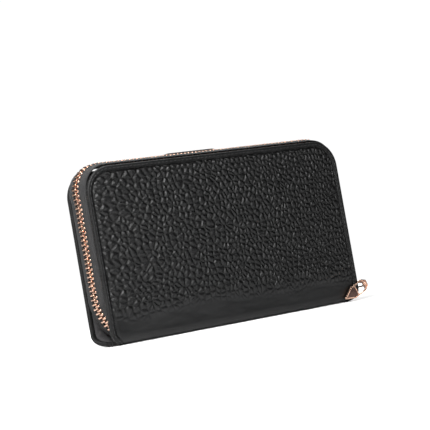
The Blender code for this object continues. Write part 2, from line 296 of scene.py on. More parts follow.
@dataclass(frozen=True)
class Finish:
    """A surface finish. Each kind writes its own shader.

    Attributes:
        name: Material name.
        colour: Base colour.
        rough: Roughness at its mean.
    """

    name: str
    colour: tuple[float, float, float]
    rough: float

    def make(self) -> bpy.types.Material:
        """Makes the material, or finds it if it was made before.

        Returns:
            The material.
        """
        found = bpy.data.materials.get(self.name)
        if found:
            return found
        material = bpy.data.materials.new(self.name)
        material.use_nodes = True
        writer = NodeWriter(material.node_tree)
        shader = material.node_tree.nodes["Principled BSDF"]
        shader.inputs["Roughness"].default_value = self.rough
        coordinate = writer.add("ShaderNodeTexCoord")
        self.write(writer, shader, coordinate)
        return material

    def write(self, writer: NodeWriter, shader: bpy.types.Node, coordinate: bpy.types.Node) -> None:
        """Writes the finish's own nodes.

        Args:
            writer: Writes into the material's tree.
            shader: The Principled shader.
            coordinate: The texture coordinate node.
        """
        shader.inputs["Base Color"].default_value = (*self.colour, 1.0)

    def tint(
        self, writer: NodeWriter, shader: bpy.types.Node, factor: object, low: float, high: float
    ) -> None:
        """Varies the base colour's lightness.

        Args:
            writer: Writes into the material's tree.
            shader: The Principled shader.
            factor: A share from 0 to 1.
            low: Lightness at 0.
            high: Lightness at 1.
        """
        mix = writer.add("ShaderNodeMix", data_type="RGBA")
        writer.feed(mix.inputs["Factor"], factor)
        mix.inputs["A"].default_value = (*[c * low for c in self.colour], 1.0)
        mix.inputs["B"].default_value = (*[c * high for c in self.colour], 1.0)
        writer.link(mix.outputs["Result"], shader.inputs["Base Color"])

    def bump(
        self, writer: NodeWriter, shader: bpy.types.Node, height: object, reach: float, strength: float = 1.0
    ) -> None:
        """Adds a bump.

        Args:
            writer: Writes into the material's tree.
            shader: The Principled shader.
            height: Height from 0 to 1.
            reach: Height of the relief, in metres.
            strength: How strongly it shows.
        """
        node = writer.add("ShaderNodeBump")
        node.inputs["Strength"].default_value = strength
        node.inputs["Distance"].default_value = reach
        writer.feed(node.inputs["Height"], height)
        writer.link(node.outputs["Normal"], shader.inputs["Normal"])


@dataclass(frozen=True)
class Leather(Finish):
    """Leather with pebbles that can fade out above a smooth band.

    Attributes:
        pebble: Width of a pebble.
        relief: Height of a pebble.
        band: Heights between which the grain comes in, or None for grain all over.
        lustre: Strength of the thin top coat.
    """

    pebble: float = 3.7 * MM
    relief: float = 0.42 * MM
    band: tuple[float, float] | None = None
    lustre: float = 0.12

    def write(self, writer: NodeWriter, shader: bpy.types.Node, coordinate: bpy.types.Node) -> None:
        """Writes pebbles, fine pores, creases with painted shade in them, and uneven sheen. See Finish.write.
        """
        where = coordinate.outputs["Object"]
        height = writer.pebbles(where, self.pebble)
        small = writer.ramp(writer.cells(writer.warped(where, 500.0, 0.0012), 760.0), 0.0, 0.2)
        pores = writer.noise(where, 2600.0, 3.0)
        shown: object = 1.0
        if self.band:
            shown = writer.above_band(where, *self.band)
        coarse = writer.maths(
            "MULTIPLY", writer.maths("ADD", height, writer.maths("MULTIPLY", small, 0.2)), shown
        )
        slow = writer.maths("MULTIPLY", writer.noise(where, 90.0, 3.0), 0.35)
        total = writer.maths("ADD", writer.maths("ADD", coarse, slow), writer.maths("MULTIPLY", pores, 0.05))
        self.bump(writer, shader, total, self.relief)
        crease_shade_mask = writer.maths(
            "ADD", writer.maths("MULTIPLY", height, shown), writer.maths("SUBTRACT", 1.0, shown)
        )
        # Painted shade: the base colour falls to a tenth of its value down in the pebble creases.
        self.tint(writer, shader, crease_shade_mask, 0.1, 1.2)
        rough = writer.ramp(writer.noise(where, 140.0, 3.0), 0.3, 0.7, self.rough - 0.06, self.rough + 0.08)
        dull = writer.maths("MULTIPLY", writer.maths("SUBTRACT", 1.0, crease_shade_mask), 0.2)
        writer.link(writer.maths("ADD", rough, dull), shader.inputs["Roughness"])
        shader.inputs["Coat Weight"].default_value = self.lustre
        shader.inputs["Coat Roughness"].default_value = 0.35
        shader.inputs["Specular IOR Level"].default_value = 0.34


@dataclass(frozen=True)
class Metal(Finish):
    """Plated metal with fine scuffs.

    Attributes:
        scuffs: Depth of the scuffs.
    """

    scuffs: float = 0.02 * MM

    def write(self, writer: NodeWriter, shader: bpy.types.Node, coordinate: bpy.types.Node) -> None:
        """Writes plating that is a little uneven. See Finish.write."""
        where = coordinate.outputs["Object"]
        shader.inputs["Metallic"].default_value = 1.0
        patches = writer.noise(where, 420.0, 3.0)
        self.tint(writer, shader, writer.ramp(patches, 0.3, 0.7), 0.82, 1.08)
        rough = writer.ramp(writer.noise(where, 900.0, 2.0), 0.35, 0.75, self.rough - 0.05, self.rough + 0.12)
        writer.link(rough, shader.inputs["Roughness"])
        streaks = writer.vector_maths("MULTIPLY", where, (1.0, 1.0, 6.0))
        self.bump(writer, shader, writer.noise(streaks, 1500.0, 2.0), self.scuffs, 0.5)


@dataclass(frozen=True)
class Woven(Finish):
    """Cloth woven of warp and weft, read from a piece's UV map or its place.

    Attributes:
        pitch: Spacing of the threads.
        by_map: Read the UV map, in metres, and not the place.
        axes: Which of a place's X, Y and Z the two threads run along.
    """

    pitch: float = 0.5 * MM
    by_map: bool = False
    axes: tuple[int, int] = (0, 2)

    def write(self, writer: NodeWriter, shader: bpy.types.Node, coordinate: bpy.types.Node) -> None:
        """Writes an over-and-under weave with fuzz, with painted shade in the weave's dips. See Finish.write.
        """
        where = coordinate.outputs["UV" if self.by_map else "Object"]
        split = writer.add("ShaderNodeSeparateXYZ")
        writer.feed(split.inputs[0], where)
        first, second = (0, 1) if self.by_map else self.axes
        turns = 2 * math.pi / self.pitch
        a = writer.maths("SINE", writer.maths("MULTIPLY", split.outputs[first], turns))
        b = writer.maths("SINE", writer.maths("MULTIPLY", split.outputs[second], turns))
        weave = writer.maths("ADD", writer.maths("MULTIPLY", writer.maths("MULTIPLY", a, b), 0.5), 0.5)
        fuzz = writer.noise(coordinate.outputs["Object"], 1800.0, 2.0)
        total = writer.maths("ADD", weave, writer.maths("MULTIPLY", fuzz, 0.3))
        self.bump(writer, shader, total, self.pitch * 0.3)
        # Painted shade: the cloth is darker where the weave's bump is low.
        self.tint(writer, shader, weave, 0.6, 1.3)
        shader.inputs["Sheen Weight"].default_value = 0.08
        shader.inputs["Sheen Roughness"].default_value = 0.5


@dataclass(frozen=True)
class Thread(Finish):
    """Waxed sewing thread with a twist."""

    def write(self, writer: NodeWriter, shader: bpy.types.Node, coordinate: bpy.types.Node) -> None:
        """Writes fine slanting plies, with painted shade in their low parts. See Finish.write."""
        where = coordinate.outputs["Object"]
        plies = writer.noise(where, 5200.0, 2.0)
        # Painted shade: the noise that bumps the plies also darkens their low parts.
        self.tint(writer, shader, plies, 0.6, 1.4)
        self.bump(writer, shader, plies, 0.08 * MM, 0.7)


GRAIN = Leather("pebbled_leather", (0.0035, 0.0035, 0.0037), 0.34, band=(13 * MM, 24 * MM), lustre=0.05)
SMOOTH = Leather(
    "smooth_leather", (0.0032, 0.0032, 0.0034), 0.42, pebble=1.4 * MM, relief=0.1 * MM, lustre=0.04
)
POCKET = Leather(
    "pocket_leather", (0.016, 0.0155, 0.0155), 0.5, pebble=1.1 * MM, relief=0.09 * MM, lustre=0.08
)
TAPE = Woven("zip_tape_cloth", (0.0075, 0.0075, 0.008), 0.85, pitch=0.75 * MM, by_map=True)
LINING = Woven("lining_cloth", (0.05, 0.048, 0.05), 0.75, pitch=0.55 * MM)
LINING_FLAT = Woven("lining_cloth_flat", (0.05, 0.048, 0.05), 0.75, pitch=0.55 * MM, axes=(0, 1))
TEETH_METAL = Metal("rose_gold_teeth", (0.86, 0.56, 0.42), 0.24)
FITTING_METAL = Metal("rose_gold_fittings", (0.88, 0.57, 0.43), 0.16)
NIB_METAL = Metal("smoked_panel", (0.16, 0.10, 0.085), 0.12)
STITCH = Thread("black_thread", (0.012, 0.012, 0.013), 0.55)
BOARD = Woven("stiffener_board", (0.28, 0.23, 0.17), 0.9, pitch=0.9 * MM)


# ---------------------------------------------------------------- mesh writing


def new_mesh(
    name: str,
    points: Array,
    faces: Sequence[Sequence[int]],
    finish: Finish | None = None,
    smooth: bool = True,
) -> bpy.types.Object:
    """Makes an object from points and faces, with its normals facing out.

    Args:
        name: Object name.
        points: Points in metres.
        faces: Rings of point numbers.
        finish: What it is dressed in.
        smooth: Shade it smooth.

    Returns:
        The object, at the origin.
    """
    mesh = bpy.data.meshes.new(name)
    mesh.from_pydata(
        [tuple(point) for point in np.asarray(points, float)], [], [tuple(face) for face in faces]
    )
    mesh.validate()
    turn_outwards(mesh)
    if finish:
        mesh.materials.append(finish.make())
    mesh.polygons.foreach_set("use_smooth", [smooth] * len(mesh.polygons))
    mesh.update()
    obj = bpy.data.objects.new(name, mesh)
    bpy.context.scene.collection.objects.link(obj)
    return obj


def turn_outwards(mesh: bpy.types.Mesh) -> None:
    """Flips a closed mesh whose signed volume is negative."""
    mesh.calc_loop_triangles()
    count = len(mesh.loop_triangles)
    if not count:
        return
    corners = np.empty(count * 3, np.int32)
    mesh.loop_triangles.foreach_get("vertices", corners)
    places = np.empty(len(mesh.vertices) * 3)
    mesh.vertices.foreach_get("co", places)
    tri = places.reshape(-1, 3)[corners.reshape(-1, 3)]
    if np.einsum("ij,ij->", tri[:, 0], np.cross(tri[:, 1], tri[:, 2])) < 0:
        mesh.flip_normals()


def tube_faces(rows: int, ring: int, closed_rows: bool = False, caps: bool = True) -> list[list[int]]:
    """Faces of a body swept through equal rings.

    Args:
        rows: Number of rings.
        ring: Points in each ring.
        closed_rows: Join the last ring to the first.
        caps: Close both ends.

    Returns:
        The faces.
    """
    faces = []
    last = rows if closed_rows else rows - 1
    for i in range(last):
        here, there = i * ring, ((i + 1) % rows) * ring
        for j in range(ring):
            k = (j + 1) % ring
            faces.append([here + j, here + k, there + k, there + j])
    if caps and not closed_rows:
        faces.append(list(range(ring))[::-1])
        faces.append([(rows - 1) * ring + j for j in range(ring)])
    return faces


def smoothstep(value: Array | float) -> Array:
    """The smooth step of a value from 0 to 1."""
    t = np.clip(value, 0.0, 1.0)
    return t * t * (3 - 2 * t)


def joined(name: str, pieces: Sequence[bpy.types.Object]) -> bpy.types.Object:
    """Joins several meshes into one object, keeping each one's finish.

    Args:
        name: Name of the result.
        pieces: Objects at the origin, which are used up.

    Returns:
        The joined object.
    """
    points: list[Array] = []
    faces: list[list[int]] = []
    slots: list[int] = []
    smooth: list[bool] = []
    materials: list[bpy.types.Material] = []
    offset = 0
    for piece in pieces:
        mesh = piece.data
        places = np.empty(len(mesh.vertices) * 3)
        mesh.vertices.foreach_get("co", places)
        points.append(places.reshape(-1, 3))
        material = mesh.materials[0]
        if material not in materials:
            materials.append(material)
        for polygon in mesh.polygons:
            faces.append([offset + v for v in polygon.vertices])
            slots.append(materials.index(material))
            smooth.append(polygon.use_smooth)
        offset += len(mesh.vertices)
        bpy.data.objects.remove(piece)
    mesh = bpy.data.meshes.new(name)
    mesh.from_pydata([tuple(p) for p in np.concatenate(points)], [], faces)
    for material in materials:
        mesh.materials.append(material)
    mesh.polygons.foreach_set("material_index", slots)
    mesh.polygons.foreach_set("use_smooth", smooth)
    mesh.update()
    obj = bpy.data.objects.new(name, mesh)
    bpy.context.scene.collection.objects.link(obj)
    return obj


def applied(obj: bpy.types.Object) -> bpy.types.Object:
    """Turns an object and its modifiers into a plain mesh.

    Args:
        obj: The object, which keeps its name.

    Returns:
        The same object, with no modifiers.
    """
    graph = bpy.context.evaluated_depsgraph_get()
    graph.update()
    mesh = bpy.data.meshes.new_from_object(obj.evaluated_get(graph))
    old = obj.data
    obj.modifiers.clear()
    obj.data = mesh
    mesh.name = obj.name
    if old.users == 0:
        bpy.data.meshes.remove(old)
    return obj


def rounded(obj: bpy.types.Object, width: float, segments: int = 2) -> bpy.types.Object:
    """Bevels an object's sharp edges and applies it.

    Args:
        obj: The object.
        width: Width of the bevel.
        segments: Steps across it.

    Returns:
        The same object.
    """
    modifier = obj.modifiers.new("Edges", "BEVEL")
    modifier.width = width
    modifier.segments = segments
    modifier.limit_method = "ANGLE"
    modifier.angle_limit = math.radians(35)
    modifier.harden_normals = False
    return applied(obj)


# ---------------------------------------------------------------- geometry node trees


@dataclass
class RailTree:
    """Geometry Nodes tree that sets a copy of a shape at every point of a rail.

    The rail is a mesh of loose points with the vector attributes "along" and "out".
    """

    name: str = "set_along_rail"
    inputs: dict[str, str] = field(default_factory=dict)

    def build(self) -> bpy.types.NodeTree:
        """Builds the tree.

        Returns:
            The tree, with its input identifiers kept in inputs.
        """
        tree = bpy.data.node_groups.new(self.name, TreeKind.GEOMETRY.value)
        face = tree.interface
        face.new_socket("Geometry", in_out="INPUT", socket_type="NodeSocketGeometry")
        for label, kind, value in (
            ("Shape", "NodeSocketObject", None),
            ("Size", "NodeSocketVector", (1.0, 1.0, 1.0)),
            ("Wobble", "NodeSocketFloat", 0.0),
            ("Seed", "NodeSocketInt", 7),
            ("Finish", "NodeSocketMaterial", None),
        ):
            socket = face.new_socket(label, in_out="INPUT", socket_type=kind)
            if value is not None:
                socket.default_value = value
            self.inputs[label] = socket.identifier
        face.new_socket("Geometry", in_out="OUTPUT", socket_type="NodeSocketGeometry")
        writer = NodeWriter(tree)
        start = writer.add("NodeGroupInput")
        end = writer.add("NodeGroupOutput")
        along = writer.add("GeometryNodeInputNamedAttribute", data_type="FLOAT_VECTOR")
        along.inputs["Name"].default_value = "along"
        out = writer.add("GeometryNodeInputNamedAttribute", data_type="FLOAT_VECTOR")
        out.inputs["Name"].default_value = "out"
        turn = writer.add("FunctionNodeAxesToRotation", primary_axis="Z", secondary_axis="X")
        writer.link(out.outputs["Attribute"], turn.inputs[0])
        writer.link(along.outputs["Attribute"], turn.inputs[1])
        low = writer.vector_maths("SCALE", (-1.0, -1.0, -1.0), start.outputs["Wobble"])
        high = writer.vector_maths("SCALE", (1.0, 1.0, 1.0), start.outputs["Wobble"])
        chance = writer.add("FunctionNodeRandomValue", data_type="FLOAT_VECTOR")
        writer.link(low, chance.inputs[0])
        writer.link(high, chance.inputs[1])
        writer.link(start.outputs["Seed"], chance.inputs["Seed"])
        tilt = writer.add("FunctionNodeEulerToRotation")
        writer.link(chance.outputs[0], tilt.inputs[0])
        both = writer.add("FunctionNodeRotateRotation", rotation_space="LOCAL")
        writer.link(turn.outputs[0], both.inputs[0])
        writer.link(tilt.outputs[0], both.inputs[1])
        shape = writer.add("GeometryNodeObjectInfo")
        writer.link(start.outputs["Shape"], shape.inputs["Object"])
        place = writer.add("GeometryNodeInstanceOnPoints")
        writer.link(start.outputs["Geometry"], place.inputs["Points"])
        writer.link(shape.outputs["Geometry"], place.inputs["Instance"])
        writer.link(both.outputs[0], place.inputs["Rotation"])
        writer.link(start.outputs["Size"], place.inputs["Scale"])
        real = writer.add("GeometryNodeRealizeInstances")
        dress = writer.add("GeometryNodeSetMaterial")
        writer.link(place.outputs["Instances"], real.inputs["Geometry"])
        writer.link(real.outputs["Geometry"], dress.inputs["Geometry"])
        writer.link(start.outputs["Finish"], dress.inputs["Material"])
        writer.link(dress.outputs["Geometry"], end.inputs["Geometry"])
        return tree

    def lay(
        self, name: str, rail: "Rail", shape: bpy.types.Object, finish: Finish, wobble: float = 0.0
    ) -> bpy.types.Object:
        """Lays copies of a shape along a rail.

        Args:
            name: Name of the result.
            rail: Where the copies go.
            shape: The shape, with X along the rail and Z out.
            finish: What the copies are dressed in.
            wobble: Largest random turn, in radians.

        Returns:
            A plain mesh of all the copies.
        """
        tree = bpy.data.node_groups.get(self.name) or self.build()
        mesh = bpy.data.meshes.new(name)
        mesh.from_pydata([tuple(p) for p in rail.points], [], [])
        for label, values in (("along", rail.along), ("out", rail.out)):
            attribute = mesh.attributes.new(label, "FLOAT_VECTOR", "POINT")
            attribute.data.foreach_set("vector", np.asarray(values, np.float32).ravel())
        obj = bpy.data.objects.new(name, mesh)
        bpy.context.scene.collection.objects.link(obj)
        modifier = obj.modifiers.new("Along rail", "NODES")
        modifier.node_group = tree
        modifier[self.inputs["Shape"]] = shape
        modifier[self.inputs["Wobble"]] = wobble
        modifier[self.inputs["Seed"]] = 7
        modifier[self.inputs["Finish"]] = finish.make()
        applied(obj)
        obj.data.polygons.foreach_set("use_smooth", [True] * len(obj.data.polygons))
        bpy.data.objects.remove(shape)
        return obj


@dataclass
class GrainTree:
    """Geometry Nodes tree that raises leather pebbles, slow dents and band creases on a cover."""

    name: str = "raise_pebbles"
    inputs: dict[str, str] = field(default_factory=dict)

    def build(self) -> bpy.types.NodeTree:
        """Builds the tree.

        Returns:
            The tree, with its input identifiers kept in inputs.
        """
        tree = bpy.data.node_groups.new(self.name, TreeKind.GEOMETRY.value)
        face = tree.interface
        face.new_socket("Geometry", in_out="INPUT", socket_type="NodeSocketGeometry")
        for label, kind, value in (
            ("Pebble", "NodeSocketFloat", GRAIN.pebble),
            ("Height", "NodeSocketFloat", 0.7 * MM),
            ("Dent", "NodeSocketFloat", 0.9 * MM),
            ("Band low", "NodeSocketFloat", 13 * MM),
            ("Band high", "NodeSocketFloat", 24 * MM),
            ("Finish", "NodeSocketMaterial", None),
        ):
            socket = face.new_socket(label, in_out="INPUT", socket_type=kind)
            if value is not None:
                socket.default_value = value
            self.inputs[label] = socket.identifier
        face.new_socket("Geometry", in_out="OUTPUT", socket_type="NodeSocketGeometry")
        writer = NodeWriter(tree)
        start = writer.add("NodeGroupInput")
        end = writer.add("NodeGroupOutput")
        where = writer.add("GeometryNodeInputPosition").outputs[0]
        skin = writer.add("GeometryNodeInputNamedAttribute", data_type="FLOAT")
        skin.inputs["Name"].default_value = "skin"
        height = writer.pebbles(where, start.outputs["Pebble"])
        shown = writer.above_band(where, start.outputs["Band low"], start.outputs["Band high"])
        raised = writer.maths("MULTIPLY", writer.maths("MULTIPLY", height, shown), start.outputs["Height"])
        slow = writer.maths("SUBTRACT", writer.noise(where, 26.0, 2.0), 0.5)
        dented = writer.maths("MULTIPLY", slow, start.outputs["Dent"])
        slant = writer.vector_maths("MULTIPLY", where, (1.0, 1.0, 2.6))
        folds = writer.ramp(writer.noise(slant, 75.0, 1.0), 0.42, 0.5)
        fold_depth = writer.maths("MULTIPLY", writer.maths("SUBTRACT", folds, 1.0), 0.06 * MM)
        folded = writer.maths("MULTIPLY", fold_depth, writer.maths("SUBTRACT", 1.0, shown))
        total = writer.maths("ADD", writer.maths("ADD", raised, dented), folded)
        total = writer.maths("MULTIPLY", total, skin.outputs["Attribute"])
        out = writer.add("GeometryNodeInputNamedAttribute", data_type="FLOAT_VECTOR")
        out.inputs["Name"].default_value = "out"
        move = writer.add("GeometryNodeSetPosition")
        writer.link(start.outputs["Geometry"], move.inputs["Geometry"])
        writer.link(writer.vector_maths("SCALE", out.outputs["Attribute"], total), move.inputs["Offset"])
        real = writer.add("GeometryNodeRealizeInstances")
        dress = writer.add("GeometryNodeSetMaterial")
        writer.link(move.outputs["Geometry"], real.inputs["Geometry"])
        writer.link(real.outputs["Geometry"], dress.inputs["Geometry"])
        writer.link(start.outputs["Finish"], dress.inputs["Material"])
        writer.link(dress.outputs["Geometry"], end.inputs["Geometry"])
        return tree

    def raise_on(self, obj: bpy.types.Object, finish: Finish) -> bpy.types.Object:
        """Raises the grain on a cover and applies it.

        Args:
            obj: The cover, with the attributes "skin" and "out".
            finish: What it is dressed in.

        Returns:
            The same object, as a plain mesh.
        """
        tree = bpy.data.node_groups.get(self.name) or self.build()
        modifier = obj.modifiers.new("Grain", "NODES")
        modifier.node_group = tree
        modifier[self.inputs["Finish"]] = finish.make()
        applied(obj)
        obj.data.polygons.foreach_set("use_smooth", [True] * len(obj.data.polygons))
        return obj


RAILS = RailTree()
GRAINS = GrainTree()


@dataclass
class Rail:
    """Places along an edge, each with its direction and the direction out of the surface."""

    points: Array
    along: Array
    out: Array

    def spaced(self, pitch: float, start: float = 0.0, end: float = 0.0) -> "Rail":
        """The same rail with points at an even pitch.

        Args:
            pitch: Distance between points.
            start: Length left free at the start.
            end: Length left free at the end.

        Returns:
            The new rail.
        """
        steps = np.linalg.norm(np.diff(self.points, axis=0), axis=1)
        at = np.concatenate([[0.0], np.cumsum(steps)])
        wanted = np.arange(start, at[-1] - end, pitch)

        def read(values: Array) -> Array:
            return np.stack([np.interp(wanted, at, values[:, n]) for n in range(3)], 1)

        return Rail(read(self.points), read(self.along), read(self.out))

    @property
    def length(self) -> float:
        """Length of the rail."""
        return float(np.linalg.norm(np.diff(self.points, axis=0), axis=1).sum())

    def across(self) -> Array:
        """Direction across the rail, in the surface: out times along."""
        side = np.cross(self.out, self.along)
        return side / np.linalg.norm(side, axis=1, keepdims=True)


def sweep(
    name: str, rail: Rail, section: Sequence[tuple[float, float]], finish: Finish, across: Array | None = None
) -> bpy.types.Object:
    """Sweeps a closed section along a rail, with a UV map in metres.

    Args:
        name: Object name.
        rail: The rail.
        section: Points of the section, as (across, out).
        finish: What it is dressed in.
        across: Direction of the section's first axis at each point.

    Returns:
        The swept object.
    """
    sides = rail.across() if across is None else across
    shape = np.array(section)
    points = (
        rail.points[:, None, :]
        + sides[:, None, :] * shape[None, :, 0, None]
        + rail.out[:, None, :] * shape[None, :, 1, None]
    )
    rows, ring = points.shape[:2]
    obj = new_mesh(name, points.reshape(-1, 3), tube_faces(rows, ring), finish)
    run = np.concatenate([[0.0], np.cumsum(np.linalg.norm(np.diff(rail.points, axis=0), axis=1))])
    layer = obj.data.uv_layers.new(name="UVMap")
    corners = np.empty(len(obj.data.loops), np.int32)
    obj.data.loops.foreach_get("vertex_index", corners)
    values = np.stack([run[corners // ring], shape[corners % ring, 0]], 1)
    layer.data.foreach_set("uv", values.astype(np.float32).ravel())
    return obj


# ---------------------------------------------------------------- the shell


@dataclass(frozen=True)
class Shell:
    """The outside of the closed wallet: the face's outline and the spine's section."""

    width: float = 195 * MM
    height: float = 108 * MM
    half_depth: float = 12.8 * MM
    corner: float = 17 * MM
    end_corner: float = 8 * MM
    front_fold: float = 5 * MM
    rear_fold: float = 8 * MM
    base: float = 0.15 * MM
    zip_bow: float = 2.6 * MM
    bow_start: float = 87 * MM
    bow_run: float = 20 * MM

    def fold(self, side: Side) -> float:
        """Radius of the spine's lower corner on one side."""
        return self.front_fold if side is Side.FRONT else self.rear_fold

    def half_width(self, z: Array, inset: float) -> Array:
        """Half the outline's width at a height, drawn in by an inset."""
        z = np.asarray(z, float)
        top = self.height - self.corner
        half = np.full(z.shape, self.width / 2 - inset)
        high = z > top
        reach = np.sqrt(np.maximum((self.corner - inset) ** 2 - (z[high] - top) ** 2, 0))
        half[high] = self.width / 2 - self.corner + reach
        low = z < self.end_corner
        reach = np.sqrt(np.maximum(self.end_corner**2 - (self.end_corner - z[low]) ** 2, 0))
        half[low] = self.width / 2 - self.end_corner + reach - inset
        return half

    def section(self, side: Side, step: float, inset: float) -> tuple[Array, Array]:
        """Rows of the wrap from the middle of the underside up to the top edge.

        Args:
            side: Front or rear.
            step: Distance between rows.
            inset: How far below the top edge the rows stop.

        Returns:
            Points as (y, z), and the outward directions as (y, z).
        """
        sign, r = side.value, self.fold(side)
        flat = self.half_depth - r
        rows = [(sign * y, self.base, 0.0, -1.0) for y in np.arange(0.0, flat, step * 1.5)]
        for angle in np.linspace(0, math.pi / 2, max(int(r * math.pi / 2 / step), 6)):
            y = flat + r * math.sin(angle)
            rows.append(
                (sign * y, self.base + r - r * math.cos(angle), sign * math.sin(angle), -math.cos(angle))
            )
        top = self.height - self.corner
        for z in np.arange(self.base + r + step, top - step / 2, step):
            rows.append((sign * self.half_depth, z, sign, 0.0))
        reach = self.corner - inset
        for angle in np.linspace(0, math.pi / 2, int(reach * math.pi / 2 / step)):
            rows.append((sign * self.half_depth, top + reach * math.sin(angle), sign, 0.0))
        table = np.array(rows, float)
        return table[:, :2], table[:, 2:]

    def edge_distance(self, x: Array, z: Array) -> Array:
        """Distance in from the left, top or right edge."""
        right = self.width / 2 - self.corner
        top = self.height - self.corner
        over = (np.abs(x) > right) & (z > top)
        corner = self.corner - np.hypot(np.abs(x) - right, z - top)
        plain = np.minimum(self.half_width(z, 0.0) - np.abs(x), self.height - z)
        return np.where(over, corner, plain)

    def edge_rail(self, side: Side, step: float = 0.9 * MM) -> Rail:
        """The wrap's edge: from under the left end, up, along the top and down the right end."""
        places, normals = self.section(side, step, 0.0)
        low = places[:, 1] <= self.height - self.corner
        places, normals = places[low], normals[low]
        half = self.half_width(places[:, 1], 0.0)
        left = np.stack([-half, places[:, 0], places[:, 1]], 1)
        out = np.stack([np.zeros(len(half)), normals[:, 0], normals[:, 1]], 1)
        right_x = self.width / 2 - self.corner
        top = self.height - self.corner
        turn = np.linspace(0, math.pi / 2, 24)[1:]
        y = side.value * self.half_depth
        arc = [(-right_x - self.corner * math.cos(a), y, top + self.corner * math.sin(a)) for a in turn]
        line = [(x, y, self.height) for x in np.linspace(-right_x, right_x, 120)[1:-1]]
        flat = np.array(arc + line + [(-x, yy, z) for x, yy, z in arc[::-1]])
        facing = np.tile([0.0, float(side.value), 0.0], (len(flat), 1))
        mirror = left[::-1] * np.array([-1.0, 1.0, 1.0])
        points = np.concatenate([left, flat, mirror])
        outs = np.concatenate([out, facing, out[::-1]])
        along = np.gradient(points, axis=0)
        along /= np.linalg.norm(along, axis=1, keepdims=True)
        return Rail(points, along, outs)

    def zip_rail(self, inset: float, step: float = 1.0 * MM) -> Rail:
        """The zip's middle line, whose lower left end dives in towards the front."""
        half = self.width / 2 - inset
        top = self.height - inset
        reach = self.corner - inset
        low = 7 * MM
        side = np.arange(low, self.height - self.corner, step)
        places = [(-half, z, -1.0, 0.0) for z in side]
        cx, cz = self.width / 2 - self.corner, self.height - self.corner
        for angle in np.linspace(math.pi, math.pi / 2, 26):
            c, s = math.cos(angle), math.sin(angle)
            places.append((-cx + reach * c, cz + reach * s, c, s))
        places += [(x, top, 0.0, 1.0) for x in np.arange(-cx + step, cx, step)]
        for angle in np.linspace(math.pi / 2, 0, 26):
            c, s = math.cos(angle), math.sin(angle)
            places.append((cx + reach * c, cz + reach * s, c, s))
        places += [(half, z, 1.0, 0.0) for z in side[::-1]]
        table = np.array(places)
        points = np.stack([table[:, 0], np.zeros(len(table)), table[:, 1]], 1)
        out = np.stack([table[:, 2], np.zeros(len(table)), table[:, 3]], 1)
        dive = np.where(points[:, 0] < 0, np.clip((30 * MM - points[:, 2]) / (22 * MM), 0, 1.1), 0.0)
        points[:, 0] += 8.5 * MM * dive**2
        points[:, 1] -= 3.6 * MM * dive**1.8
        bowed = self.zip_bow * smoothstep((points[:, 2] - self.bow_start) / self.bow_run)
        points += out * bowed[:, None]
        along = np.gradient(points, axis=0)
        along /= np.linalg.norm(along, axis=1, keepdims=True)
        out -= along * np.einsum("ij,ij->i", out, along)[:, None]
        out /= np.linalg.norm(out, axis=1, keepdims=True)
        return Rail(points, along, out)


